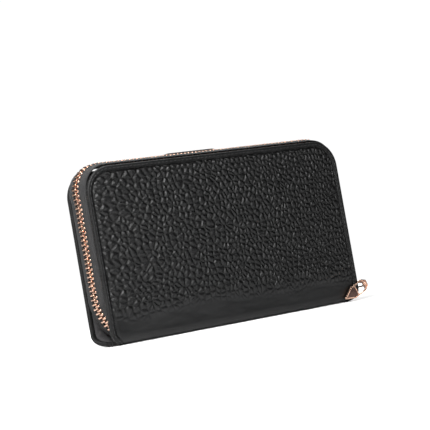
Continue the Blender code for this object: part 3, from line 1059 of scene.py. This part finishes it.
@dataclass
class Cover:
    """One side of the leather wrap: padded field, stitched rim and lining."""

    shell: Shell
    side: Side
    rim: float = 3.4 * MM
    groove: float = 1.1 * MM
    crown: float = 0.9 * MM
    leather: float = 1.5 * MM
    columns: int = 330
    stitch_pitch: float = 3.0 * MM
    stitch_in: float = 1.8 * MM

    def puff(self, inward: Array, z: Array) -> Array:
        """Height of the field over the wrap at a distance in from the edge."""
        lip = smoothstep((inward - (self.rim - 0.4 * MM)) / (2.0 * MM))
        swell = smoothstep((inward - self.rim) / (30 * MM)) * smoothstep((z - 4 * MM) / (26 * MM))
        return -self.groove + (self.groove + 0.05 * MM) * lip + self.crown * swell

    def field(self) -> bpy.types.Object:
        """The grained field, closed at the back."""
        inset = self.rim - 0.9 * MM
        places, normals = self.shell.section(self.side, 0.62 * MM, inset)
        y, z = places[:, 0], places[:, 1]
        half = self.shell.half_width(z, inset)
        spread = np.linspace(-1, 1, self.columns)
        x = half[:, None] * spread[None, :]
        height = self.puff(self.shell.edge_distance(x, np.repeat(z[:, None], self.columns, 1)), z[:, None])
        rows = len(z)
        front = np.empty((rows, self.columns, 3))
        front[..., 0] = x
        front[..., 1] = y[:, None] + normals[:, :1] * height
        front[..., 2] = z[:, None] + normals[:, 1:] * height
        back = np.empty((rows, 2, 3))
        for column, sign in ((0, -1), (1, 1)):
            back[:, column, 0] = sign * half
            back[:, column, 1] = y - normals[:, 0] * self.leather
            back[:, column, 2] = z - normals[:, 1] * self.leather
        points = np.concatenate([front.reshape(-1, 3), back.reshape(-1, 3)])
        n = self.columns
        offset = rows * n
        i, j = np.meshgrid(np.arange(rows - 1), np.arange(n - 1), indexing="ij")
        base = (i * n + j).ravel()
        faces = np.stack([base, base + 1, base + n + 1, base + n], 1).tolist()
        for row in range(rows - 1):
            a, b = offset + row * 2, offset + row * 2 + 2
            faces.append([a + 1, a, b, b + 1])
            faces.append([row * n, (row + 1) * n, b, a])
            faces.append([row * n + n - 1, a + 1, b + 1, (row + 1) * n + n - 1])
        faces.append([*range(n - 1, -1, -1), offset, offset + 1])
        last = (rows - 1) * n
        faces.append([*range(last, last + n), offset + rows * 2 - 1, offset + rows * 2 - 2])
        obj = new_mesh(f"{self.side.word}_padded_leather", points, faces, GRAIN)
        skin = np.concatenate(
            [
                smoothstep((self.shell.edge_distance(x, z[:, None] + 0 * x) - inset) / (2.5 * MM)).ravel(),
                np.zeros(rows * 2),
            ]
        )
        skin[: n * 2] *= 0.0
        self.mark(obj, "skin", "FLOAT", "value", skin)
        out = np.zeros((rows, n, 3))
        out[..., 1] = normals[:, :1]
        out[..., 2] = normals[:, 1:]
        self.mark(
            obj,
            "out",
            "FLOAT_VECTOR",
            "vector",
            np.concatenate([out.reshape(-1, 3), np.zeros((rows * 2, 3))]),
        )
        return GRAINS.raise_on(obj, GRAIN)

    def mark(self, obj: bpy.types.Object, name: str, kind: str, label: str, values: Array) -> None:
        """Stores an attribute on each point."""
        attribute = obj.data.attributes.new(name, kind, "POINT")
        attribute.data.foreach_set(label, np.asarray(values, np.float32).ravel())

    def border(self) -> bpy.types.Object:
        """The flat rim with its rolled edge and the seam between leather and lining."""
        r = self.rim / MM
        shape = (
            (r + 0.5, -1.5), (r + 0.1, -0.55), (r - 0.35, -0.08), (r - 0.9, 0.06), (2.6, 0.08), (2.0, 0.02),
            (1.4, 0.08), (0.7, 0.04), (0.25, -0.14), (0.02, -0.5), (0.0, -1.15), (0.32, -1.32), (0.32, -1.5),
            (0.06, -1.66), (0.1, -2.5), (0.5, -2.72), (r + 0.5, -2.72),
        )
        rail = self.shell.edge_rail(self.side)
        inward = -rail.across() * self.outwards(rail)
        section = [(a * MM, b * MM) for a, b in shape]
        return sweep(f"{self.side.word}_stitched_rim", rail, section, SMOOTH, inward)

    def outwards(self, rail: Rail) -> float:
        """The sign that turns a rail's across direction away from the middle."""
        middle = np.array([0.0, 0.0, self.shell.height / 2])
        flow = np.einsum("ij,ij->i", rail.across(), rail.points - middle)
        return 1.0 if flow.sum() > 0 else -1.0

    def stitches(self) -> bpy.types.Object:
        """Thread round the rim, each stitch dipping into its holes."""
        rail = self.shell.edge_rail(self.side)
        inward = -rail.across() * self.outwards(rail)
        line = Rail(rail.points + inward * self.stitch_in + rail.out * 0.03 * MM, rail.along, rail.out)
        line = line.spaced(self.stitch_pitch, 3 * MM, 3 * MM)
        return RAILS.lay(f"{self.side.word}_rim_stitches", line, stitch_shape(), STITCH, 0.05)

    def liner(self) -> bpy.types.Object:
        """Lining inside the wrap."""
        places, normals = self.shell.section(self.side, 2.2 * MM, 2.6 * MM)
        half = self.shell.half_width(places[:, 1], 2.4 * MM)
        rings = []
        for level, (y, z) in enumerate(places):
            ny, nz = normals[level]
            ring = []
            for depth, sign in ((-2.78, -1), (-2.78, 1), (-3.1, 1), (-3.1, -1)):
                ring.append((sign * half[level], y + ny * depth * MM, z + nz * depth * MM))
            rings.append(ring)
        points = np.array(rings).reshape(-1, 3)
        return new_mesh(f"{self.side.word}_lining_cloth", points, tube_faces(len(rings), 4), LINING, False)

    def build(self) -> None:
        """Builds the side, bakes its pieces where they stand and hides the CAD nodes that it replaces."""
        word = self.side.word
        leather, rim, thread, liner = self.field(), self.border(), self.stitches(), self.liner()
        for piece in (leather, rim, thread, liner):
            self.side.body
            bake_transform(piece)
        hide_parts(f"{word}_cover", f"{word}_board", "spine_cover")
        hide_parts(f"{word}_lining", "spine_lining")
        LOG.info("%s cover: %d faces of leather", word, len(leather.data.polygons))


def stitch_shape(length: float = 2.3 * MM, radius: float = 0.27 * MM) -> bpy.types.Object:
    """One stitch: a bowed thread with pulled-down ends.

    Args:
        length: Length of the stitch.
        radius: Radius of the thread.

    Returns:
        The shape, with X along the seam and Z out.
    """
    rings = []
    for t in np.linspace(-1, 1, 7):
        swell = math.sqrt(max(1 - 0.8 * t * t, 0.05))
        for angle in np.linspace(0, 2 * math.pi, 7)[:-1]:
            y = radius * swell * math.cos(angle)
            z = radius * swell * math.sin(angle) - 0.3 * MM * t**4 + 0.06 * MM
            rings.append((t * length / 2, y + 0.05 * MM * t, z))
    return new_mesh("stitch", np.array(rings), tube_faces(7, 6))


# ---------------------------------------------------------------- the zip


@dataclass
class MainZip:
    """Tapes and tooth rows of the main zip."""

    shell: Shell
    inset: float = 0.35 * MM
    pitch: float = 2.8 * MM
    cord: float = 3.4 * MM
    slider_gap: float = 13.5 * MM

    def tape(self, side: Side) -> bpy.types.Object:
        """One woven tape, bellied out towards the teeth, with its corded edge."""
        rail = self.shell.zip_rail(self.inset)
        across = np.tile([0.0, float(side.value), 0.0], (len(rail.points), 1))
        outer = (
            (2.5, 0.0), (
                2.6, 0.75
            ), (3.0, 1.0), (3.5, 0.8), (3.9, 0.35), (5.0, 0.22), (6.4, 0.05), (7.8, -0.2),
            (9.2, -0.5), (10.1, -0.75), (10.1, -1.3), (9.2, -1.05), (7.8, -0.75), (6.4, -0.5), (5.0, -0.33),
            (3.9, -0.35), (3.5, -0.8), (3.0, -1.0), (2.6, -0.75),
        )
        spread = np.clip((side.value * 13 * MM - rail.points[:, 1]) / (side.value * 13 * MM), 0.7, 1.3)
        section = [(a * MM, b * MM) for a, b in outer]
        return sweep(f"{side.word}_zip_tape_cloth", rail, section, TAPE, across * spread[:, None])

    def tooth(self) -> bpy.types.Object:
        """One tooth: jaws on the cord, a waist, and a rounded head past the middle."""
        plan = (
            (3.75, 0.35), (3.6, 0.66), (3.0, 0.76), (2.2, 0.72), (1.3, 0.55), (0.5, 0.6), (-0.15, 0.66),
            (-0.65, 0.5), (-0.85, 0.2),
        )
        outline = [(w, y) for y, w in plan] + [(-w, y) for y, w in plan[::-1]]
        rings = []
        for z, shrink in ((-1.0, 0.25), (-0.75, 0.05), (0.0, 0.0), (0.8, 0.04), (1.1, 0.16), (1.22, 0.34)):
            for w, y in outline:
                scale = max(1 - shrink / 0.8, 0.2)
                centre = 1.4
                rings.append((w * MM * scale, (centre + (y - centre) * (1 - shrink * 0.35)) * MM, z * MM))
        return new_mesh("tooth", np.array(rings), tube_faces(6, len(outline)))

    def teeth(self, side: Side) -> bpy.types.Object:
        """One row of teeth, half a pitch from the other."""
        rail = self.shell.zip_rail(self.inset)
        offset = 1.5 * MM + (0.0 if side is Side.FRONT else self.pitch / 2)
        line = rail.spaced(self.pitch, offset, self.slider_gap - 1.0 * MM)
        if side is Side.FRONT:
            line = Rail(line.points, -line.along, line.out)
        return RAILS.lay(f"{side.word}_tooth_row", line, self.tooth(), TEETH_METAL, 0.02)

    def build(self) -> None:
        """Builds both sides and sets what they ride on."""
        for side in Side:
            tape, teeth = self.tape(side), self.teeth(side)
            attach(tape, side.body)
            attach(teeth, side.body)
            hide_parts(f"{side.word}_zip_tape")
            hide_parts(f"{side.word}_teeth", f"{side.word}_stop_start")
            LOG.info("%s zip: %d tooth faces", side.word, len(teeth.data.polygons))


def slab(
    name: str,
    outline: Sequence[tuple[float, float]],
    low: float,
    high: float,
    place: Callable[[float, float, float], tuple[float, float, float]],
    finish: Finish,
    edge: float = 0.2 * MM,
) -> bpy.types.Object:
    """A flat piece of any outline with rounded edges.

    Args:
        name: Object name.
        outline: Points of the outline, as (u, v).
        low: Lower level.
        high: Upper level.
        place: Turns (u, v, level) into a point.
        finish: What it is dressed in.
        edge: Width of the rounding, or 0 for none.

    Returns:
        The piece.
    """
    points = [place(u, v, level) for level in (low, high) for u, v in outline]
    obj = new_mesh(name, np.array(points), tube_faces(2, len(outline)), finish, False)
    return rounded(obj, edge) if edge else obj


@dataclass
class Slider:
    """The main slider on the right end, its loop, its link and the long pointed pull."""

    shell: Shell
    joints: list[dict]
    z: float = 12.5 * MM
    length: float = 11.0 * MM
    plate_in: float = 1.6 * MM
    plate: float = 0.9 * MM
    wide: float = 4.7 * MM

    @property
    def x(self) -> float:
        """The zip's plane at the right end."""
        return self.shell.width / 2 - 0.35 * MM

    def body(self) -> bpy.types.Object:
        """Two tapered plates with side flanges, the post between them and the loop on top."""
        low, high = self.z - self.length / 2, self.z + self.length / 2
        plan = [
            (-0.72, 0.0), (-0.95, 0.08), (-1.0, 0.25), (-0.93, 0.62), (-0.74, 0.94), (-0.55, 1.0),
            (0.55, 1.0), (0.74, 0.94), (0.93, 0.62), (1.0, 0.25), (0.95, 0.08), (0.72, 0.0),
        ]
        outline = [(u * self.wide, low + v * self.length) for u, v in plan]

        def place(u: float, v: float, level: float) -> tuple[float, float, float]:
            return (self.x + level, u, v)

        outer, inner = self.plate_in, self.plate_in + self.plate
        pieces = [
            slab("plate_out", outline, outer, inner, place, FITTING_METAL, 0.3 * MM),
            slab("plate_in", outline, -inner, -outer, place, FITTING_METAL, 0.3 * MM),
        ]
        post = [
            (-0.8 * MM, low + 0.9 * MM),
            (0.8 * MM, low + 0.9 * MM),
            (0.8 * MM, low + 4.4 * MM),
            (-0.8 * MM, low + 4.4 * MM),
        ]
        pieces.append(slab("post", post, -outer - 0.2 * MM, outer + 0.2 * MM, place, FITTING_METAL, 0))
        for sign in (-1, 1):
            flange = [(sign * u * self.wide, low + v * self.length) for u, v in plan[7:11]]
            flange += [
                (sign * (u * self.wide - 0.75 * MM), low + v * self.length) for u, v in plan[7:11][::-1]
            ]
            for near, far in ((0.75 * MM, outer + 0.2 * MM), (-outer - 0.2 * MM, -0.75 * MM)):
                pieces.append(slab("flange", flange, near, far, place, FITTING_METAL, 0.15 * MM))
        reach = 2.1 * MM
        arch = [(0.0, low + 0.2 * MM), (reach * 0.9, low + 0.25 * MM), (reach + 0.35 * MM, low + 0.9 * MM)]
        arch += [(reach + 0.42 * MM, low + 2.75 * MM), (reach + 0.35 * MM, low + 4.6 * MM)]
        arch += [(reach * 0.9, low + 5.25 * MM), (0.0, low + 5.5 * MM)]
        inside = [(0.0, low + 4.7 * MM), (reach * 0.75, low + 4.55 * MM), (reach - 0.4 * MM, low + 4.1 * MM)]
        inside += [
            (reach - 0.4 * MM, low + 1.4 * MM), (reach * 0.75, low + 0.95 * MM), (0.0, low + 0.85 * MM)
        ]
        base = self.x + inner - 0.1 * MM

        def loop_place(u: float, v: float, level: float) -> tuple[float, float, float]:
            return (base + u, level, v)

        pieces.append(
            slab("loop", arch + inside, -0.42 * MM, 0.42 * MM, loop_place, FITTING_METAL, 0.16 * MM)
        )
        return joined("zip_slider_body", pieces)

    def link(self, pivot: Vector, end: Vector) -> bpy.types.Object:
        """A wire ring that goes from the slider's loop round to the pull."""
        radius = 0.55 * MM
        middle = (pivot + end) / 2
        reach = (end - pivot).length / 2 + 0.9 * MM
        run = (end - pivot).normalized()
        rise = Vector((0, 0, 1))
        points = []
        steps = 40
        for n in range(steps):
            angle = 2 * math.pi * n / steps
            flat = math.copysign(abs(math.cos(angle)) ** 0.8, math.cos(angle))
            points.append(middle + run * flat * reach + rise * math.sin(angle) * 1.5 * MM)
        path = np.array(points)
        along = np.roll(path, -1, 0) - np.roll(path, 1, 0)
        along /= np.linalg.norm(along, axis=1, keepdims=True)
        out = np.tile(np.array(run.cross(rise)), (steps, 1))
        side = np.cross(out, along)
        rings = []
        for n in range(steps):
            for angle in np.linspace(0, 2 * math.pi, 11)[:-1]:
                rings.append(path[n] + radius * (math.cos(angle) * side[n] + math.sin(angle) * out[n]))
        return new_mesh("pull_wire_link", np.array(rings), tube_faces(steps, 10, True), FITTING_METAL)

    def pull(self, pivot: Vector, turn: Matrix) -> bpy.types.Object:
        """The pen-nib pull: bevelled frame, open window, dark pointed panel."""

        def place(u: float, v: float, level: float) -> tuple[float, float, float]:
            return tuple(pivot + turn @ Vector((u, level, -v)))

        outer = [(2.0, -2.0), (4.2, 1.5), (4.0, 12.4), (0.4, 20.0)]
        outer = [(-u, v) for u, v in outer[::-1]] + outer
        mid = [(1.45, -1.1), (3.35, 2.0), (3.15, 12.0), (0.1, 18.4)]
        scale = MM
        levels = (0.0, 0.55, 0.8)
        rings = []
        for level, grow in ((-levels[1], 1.0), (levels[1], 1.0), (levels[2], 0.93)):
            rings.append(
                [
                    (u * grow * scale, (9.0 + (v - 9.0) * (0.5 + grow / 2)) * scale, level * scale)
                    for u, v in outer
                ]
            )
        inner = [(u, v) for u, v in mid[::-1]]
        ring_in = [(-u, v) for u, v in inner] + [(u, v) for u, v in inner[::-1]]
        rings.append([(u * scale, v * scale, levels[2] * scale) for u, v in ring_in])
        rings.append([(u * 0.94 * scale, (9.0 + (v - 9.0) * 0.97) * scale, 0.3 * scale) for u, v in ring_in])
        rings.append([(u * 0.94 * scale, (9.0 + (v - 9.0) * 0.97) * scale, -0.3 * scale) for u, v in ring_in])
        rings.append([(u * scale, v * scale, -levels[2] * scale) for u, v in ring_in])
        rings.append(
            [(u * 0.93 * scale, (9.0 + (v - 9.0) * 0.965) * scale, -levels[2] * scale) for u, v in outer]
        )
        points = np.array([place(u, v, level) for ring in rings for u, v, level in ring])
        frame = new_mesh("nib_frame", points, tube_faces(len(rings), 8, True), FITTING_METAL, False)
        rounded(frame, 0.12 * MM, 2)
        panel = [(-3.1, 9.0), (3.1, 9.0), (3.0, 12.1), (0.15, 18.3), (-0.15, 18.3), (-3.0, 12.1)]
        plate = slab(
            "nib_panel",
            [(u * scale, v * scale) for u, v in panel],
            -0.32 * MM,
            0.32 * MM,
            place,
            NIB_METAL,
            0.08 * MM,
        )
        bar = [(-3.4, 8.2), (3.4, 8.2), (3.4, 9.1), (-3.4, 9.1)]
        rung = slab(
            "nib_rung",
            [(u * scale, v * scale) for u, v in bar],
            -0.6 * MM,
            0.6 * MM,
            place,
            FITTING_METAL,
            0.15 * MM,
        )
        top = [(-2.9, 1.6), (2.9, 1.6), (2.2, 0.2), (-2.2, 0.2)]
        head = slab(
            "nib_head",
            [(u * scale, v * scale) for u, v in top],
            -0.5 * MM,
            0.5 * MM,
            place,
            FITTING_METAL,
            0.12 * MM,
        )
        return joined("nib_pull", [frame, plate, rung, head])

    def build(self) -> None:
        """Builds the pieces where their CAD nodes are."""
        joints = {joint["name"]: joint for joint in self.joints}
        bar = Vector(joints["link_swing"]["pos_m"])
        hang = Vector(joints["puller_swing"]["pos_m"])
        body = self.body()
        link = self.link(bar, hang + Vector((0, 0.2 * MM, 0)))
        pull = self.pull(hang, Matrix.Rotation(math.radians(68.0), 3, "Y"))
        for piece, name, node in (
            (body, "slider", "slider"), (link, "pull_link", "pull_link"), (pull, "puller", "puller")
        ):
            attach(piece, name)
            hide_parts(node)
        LOG.info("slider, link and pull: %d faces", sum(len(p.data.polygons) for p in (body, link, pull)))


# ---------------------------------------------------------------- the rear face


@dataclass
class RoundedPanel:
    """A leather panel of rounded outline in the X-Z plane, with a crowned face."""

    name: str
    x: tuple[float, float]
    z: tuple[float, float]
    y: tuple[float, float]
    radii: tuple[float, float]
    crown: float
    finish: Finish

    def outline(self, inset: float) -> list[tuple[float, float]]:
        """The outline drawn in by an inset, from below left, clockwise."""
        x0, x1 = self.x[0] + inset, self.x[1] - inset
        z0, z1 = self.z[0] + inset, self.z[1] - inset
        low, high = (max(r - inset, 0.4 * MM) for r in self.radii)
        ring = []
        for cx, cz, r, start in (
            (x0 + low, z0 + low, low, 270),
            (x0 + high, z1 - high, high, 180),
            (x1 - high, z1 - high, high, 90),
            (x1 - low, z0 + low, low, 0),
        ):
            for step in range(9):
                angle = math.radians(start - 90 * step / 8)
                ring.append((cx + r * math.cos(angle), cz + r * math.sin(angle)))
        return ring

    def build(self) -> bpy.types.Object:
        """Builds the panel.

        Returns:
            The panel.
        """
        y0, y1 = self.y
        edge = 0.3 * MM
        layers = (
            (edge, y0),
            (0.0, y0 + edge),
            (0.0, y1 - edge),
            (edge, y1),
            (2.4 * MM, y1),
            (3.1 * MM, y1 - edge),
            (4.0 * MM, y1),
            (7.0 * MM, y1 + self.crown),
        )
        rings = [[(x, y, z) for x, z in self.outline(inset)] for inset, y in layers]
        points = np.array(rings).reshape(-1, 3)
        return new_mesh(self.name, points, tube_faces(len(rings), 36), self.finish)

    def stitches(self, name: str, inset: float, open_top: bool) -> bpy.types.Object:
        """Thread round the panel's edge.

        Args:
            name: Name of the thread's object.
            inset: Distance in from the edge.
            open_top: Leave the top edge free.

        Returns:
            The thread.
        """
        ring = self.outline(inset)
        if open_top:
            ring = ring[22:] + ring[:14]
        else:
            ring = ring + ring[:1]
        points = np.array([(x, self.y[1] + 0.02 * MM, z) for x, z in ring])
        dense = []
        for a, b in zip(points[:-1], points[1:]):
            count = max(int(np.linalg.norm(b - a) / (0.5 * MM)), 1)
            dense += [a + (b - a) * t / count for t in range(count)]
        path = np.array(dense)
        along = np.gradient(path, axis=0)
        along /= np.linalg.norm(along, axis=1, keepdims=True)
        out = np.tile([0.0, 1.0, 0.0], (len(path), 1))
        return RAILS.lay(
            name, Rail(path, along, out).spaced(3.0 * MM, 0.5 * MM), stitch_shape(), STITCH, 0.05
        )


@dataclass
class RearFace:
    """Slip pocket, tab, its anchor and the press stud on the rear face.

    The tab's loop bows up over the top edge, by loop_rise. bend_run and hinge_height are not used.
    """

    top_edge: float = 108 * MM
    loop_rise: float = 4.4 * MM
    hinge_height: float = 109.6 * MM
    bend_run: float = 6 * MM

    def panel(
        self,
        node: str,
        name: str,
        radii: tuple[float, float],
        crown: float,
        finish: Finish,
        body: str,
        open_top: bool,
    ) -> None:
        """Builds a panel over a CAD node, with its stitches.

        Args:
            node: The CAD node.
            name: Name of the new piece.
            radii: Corner radii below and above.
            crown: Height of the crown.
            finish: What it is dressed in.
            body: What it rides on.
            open_top: Leave the top edge unstitched.
        """
        low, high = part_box(node)
        top = high.z + (self.loop_rise if high.z > self.top_edge else 0.0)
        shape = RoundedPanel(name, (low.x, high.x), (low.z, top), (low.y, high.y), radii, crown, finish)
        piece = shape.build()
        thread = shape.stitches(f"{name}_stitches", 1.6 * MM, open_top)
        for item in (piece, thread):
            if body == "snap_tab":
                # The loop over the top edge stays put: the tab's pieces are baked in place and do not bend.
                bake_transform(item)
            else:
                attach(item, body)
        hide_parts(node)

    def stud(self, node: str, name: str, body: str, dome: float) -> None:
        """Turns a domed round cap over a CAD disc.

        Args:
            node: The CAD node.
            name: Name of the new piece.
            body: What it rides on.
            dome: Height of the dome over the disc.
        """
        low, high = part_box(node)
        centre = (low + high) / 2
        radius = (high.x - low.x) / 2
        depth = high.y - low.y
        profile = [
            (0.0, low.y),
            (0.97, low.y),
            (1.0, low.y + depth * 0.3),
            (0.97, low.y + depth * 0.75),
            (0.86, high.y - 0.05 * MM),
        ]
        profile += [
            (0.8, high.y - 0.12 * MM),
            (0.74, high.y - 0.05 * MM),
            (0.5, high.y + dome * 0.6),
            (0.25, high.y + dome * 0.92),
        ]
        points = []
        steps = 40
        for share, y in profile[1:]:
            for n in range(steps):
                angle = 2 * math.pi * n / steps
                points.append(
                    (
                        centre.x + share * radius * math.cos(angle),
                        y,
                        centre.z + share * radius * math.sin(angle),
                    )
                )
        piece = new_mesh(name, np.array(points), tube_faces(len(profile) - 1, steps), FITTING_METAL)
        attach(piece, body)
        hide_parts(node)

    def build(self) -> None:
        """Builds every piece of the rear face."""
        self.panel("slip_pocket", "slip_pocket_leather", (6 * MM, 5 * MM), 0.1 * MM, GRAIN, "rear_half", True)
        self.panel("tab_anchor", "tab_anchor_leather", (2 * MM, 5 * MM), 0.0, SMOOTH, "rear_half", False)
        self.panel("snap_tab", "snap_tab_leather", (12 * MM, 5 * MM), 0.1 * MM, SMOOTH, "snap_tab", False)
        self.stud("snap_cap", "snap_cap_metal", "snap_tab", 0.35 * MM)
        self.stud("snap_stud", "snap_stud_metal", "rear_half", 0.0)
        LOG.info("rear face built")


# ---------------------------------------------------------------- the inside


@dataclass
class Inside:
    """Finishes for the CAD pieces inside, and the thread that holds the card pockets."""

    nodes: dict[str, bpy.types.Object]

    def dress(self) -> None:
        """Gives each CAD node that still shows its finish."""
        rules: tuple[tuple[str, Finish], ...] = (
            ("card_pocket", POCKET), (
                "coin_tape", Woven("coin_tape_cloth", (0.02, 0.02, 0.022), 0.8, axes=(0, 1))
            ),
            ("coin_teeth", TEETH_METAL), ("stop", TEETH_METAL), ("coin_slider", FITTING_METAL),
            ("coin_pull", FITTING_METAL), ("coin_bag", LINING), ("lining", LINING), ("board", BOARD),
            ("cover", SMOOTH), ("slip", SMOOTH), ("tab", SMOOTH), ("tape", LINING_FLAT), ("", FITTING_METAL),
        )
        for name, node in self.nodes.items():
            finish = next(finish for word, finish in rules if word in name)
            node.data.materials.clear()
            node.data.materials.append(finish.make())

    def pocket_threads(self) -> None:
        """Sews each card pocket along its top edge."""
        for side in Side:
            lines = []
            for level in range(1, 5):
                low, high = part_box(f"{side.word}_card_pocket_{level}")
                y = low.y if side is Side.REAR else high.y
                y -= side.value * 0.02 * MM
                lines.append(
                    [(x, y, high.z - 1.6 * MM) for x in np.arange(low.x + 4 * MM, high.x - 4 * MM, 2.6 * MM)]
                )
            points = np.array([point for line in lines for point in line])
            along = np.tile([1.0, 0.0, 0.0], (len(points), 1))
            out = np.tile([0.0, -float(side.value), 0.0], (len(points), 1))
            shape = stitch_shape(1.9 * MM, 0.13 * MM)
            thread = RAILS.lay(f"{side.word}_pocket_stitches", Rail(points, along, out), shape, STITCH, 0.03)
            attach(thread, side.body)

    def build(self) -> None:
        """Dresses the nodes and sews the pockets."""
        self.dress()
        self.pocket_threads()
        LOG.info("inside dressed")


# ---------------------------------------------------------------- the studio


@dataclass
class Studio:
    """Pale floor, soft lights and the camera."""

    eye: tuple[float, float, float] = (-0.5946, -0.8270, 0.0237)
    right: tuple[float, float, float] = (0.80383, -0.56912, -0.17309)
    up: tuple[float, float, float] = (0.11453, -0.13746, 0.98386)
    lens: float = 133.96

    def floor(self) -> None:
        """A wide pale floor with a painted glow, as a lit sweep has, that is weaker near the wallet."""
        points = np.array([(-4, -4, 0), (4, -4, 0), (4, 4, 0), (-4, 4, 0)], float)
        points[:, 2] = -0.1 * MM
        mesh = bpy.data.meshes.new("floor")
        mesh.from_pydata([tuple(p) for p in points], [], [(0, 1, 2, 3)])
        material = bpy.data.materials.new("pale_floor")
        material.use_nodes = True
        shader = material.node_tree.nodes["Principled BSDF"]
        shader.inputs["Base Color"].default_value = (0.8, 0.8, 0.8, 1)
        shader.inputs["Roughness"].default_value = 0.9
        shader.inputs["Specular IOR Level"].default_value = 0.0
        writer = NodeWriter(material.node_tree)
        where = writer.add("ShaderNodeTexCoord").outputs["Object"]
        reach = writer.add("ShaderNodeVectorMath", operation="LENGTH")
        writer.link(where, reach.inputs[0])
        # Painted glow, for camera rays only: 0.22 near the middle, rising to full between 0.12 m and 0.3 m
        # out, so the floor round the wallet is darker.
        painted_floor_glow = writer.ramp(reach.outputs["Value"], 0.12, 0.3, 0.22, 1.0)
        painted_floor_glow = writer.maths("MULTIPLY", painted_floor_glow, writer.add("ShaderNodeLightPath").outputs["Is Camera Ray"])
        blend = writer.add("ShaderNodeCombineXYZ")
        for socket in blend.inputs:
            writer.link(painted_floor_glow, socket)
        writer.link(blend.outputs[0], shader.inputs["Emission Color"])
        shader.inputs["Emission Strength"].default_value = 1.0
        mesh.materials.append(material)
        obj = bpy.data.objects.new("floor", mesh)
        bpy.context.scene.collection.objects.link(obj)

    def world(self) -> None:
        """A white surround that lights the leather only softly."""
        world = bpy.data.worlds.new("surround")
        bpy.context.scene.world = world
        world.use_nodes = True
        tree = world.node_tree
        writer = NodeWriter(tree)
        back = tree.nodes["Background"]
        back.inputs["Color"].default_value = (1, 1, 1, 1)
        path = writer.add("ShaderNodeLightPath")
        strength = writer.maths("ADD", writer.maths("MULTIPLY", path.outputs["Is Camera Ray"], 0.97), 0.05)
        writer.link(strength, back.inputs["Strength"])

    def lamp(
        self, name: str, place: tuple[float, float, float], size: tuple[float, float], power: float
    ) -> None:
        """One soft box aimed at the wallet.

        Args:
            name: Its name.
            place: Where it stands.
            size: Width and height.
            power: Watts.
        """
        light = bpy.data.lights.new(name, "AREA")
        light.shape = "RECTANGLE"
        light.size, light.size_y = size
        light.energy = power
        obj = bpy.data.objects.new(name, light)
        aim = Vector((0.0, 0.0, 0.05)) - Vector(place)
        obj.rotation_euler = aim.to_track_quat("-Z", "Y").to_euler()
        obj.location = place
        bpy.context.scene.collection.objects.link(obj)

    def camera(self) -> None:
        """The camera, tilted a little about its own line of sight."""
        camera = bpy.data.cameras.new("camera")
        camera.lens = self.lens
        camera.sensor_width = 36.0
        camera.clip_start = 0.05
        obj = bpy.data.objects.new("camera", camera)
        right, up = Vector(self.right), Vector(self.up)
        back = right.cross(up)
        frame = Matrix((right, up, back)).transposed().to_4x4()
        frame.translation = Vector(self.eye)
        obj.matrix_world = frame
        bpy.context.scene.collection.objects.link(obj)
        bpy.context.scene.camera = obj

    def build(self) -> None:
        """Sets the stage."""
        self.floor()
        self.world()
        self.lamp("key", (-0.26, -0.20, 0.34), (0.26, 0.18), 3.2)
        self.lamp("side", (-0.9, 0.1, 0.3), (0.3, 0.5), 2.0)
        self.lamp("sheen", (0.0, -0.80, 0.55), (0.28, 0.2), 1.1)
        self.lamp("top", (0.25, 0.3, 0.9), (0.7, 0.7), 7.0)
        self.camera()
        bpy.context.scene.view_settings.view_transform = "Standard"


def main() -> None:
    """Builds the wallet and its stage in order."""
    logging.basicConfig(level=logging.INFO, format="%(name)s: %(message)s")
    for obj in list(bpy.data.objects):
        bpy.data.objects.remove(obj)
    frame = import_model()
    shell = Shell()
    Studio().build()
    Inside(frame["nodes"]).build()
    for side in Side:
        Cover(shell, side).build()
    MainZip(shell).build()
    Slider(shell, frame["joints"]).build()
    RearFace().build()


if __name__ == "__main__":
    main()
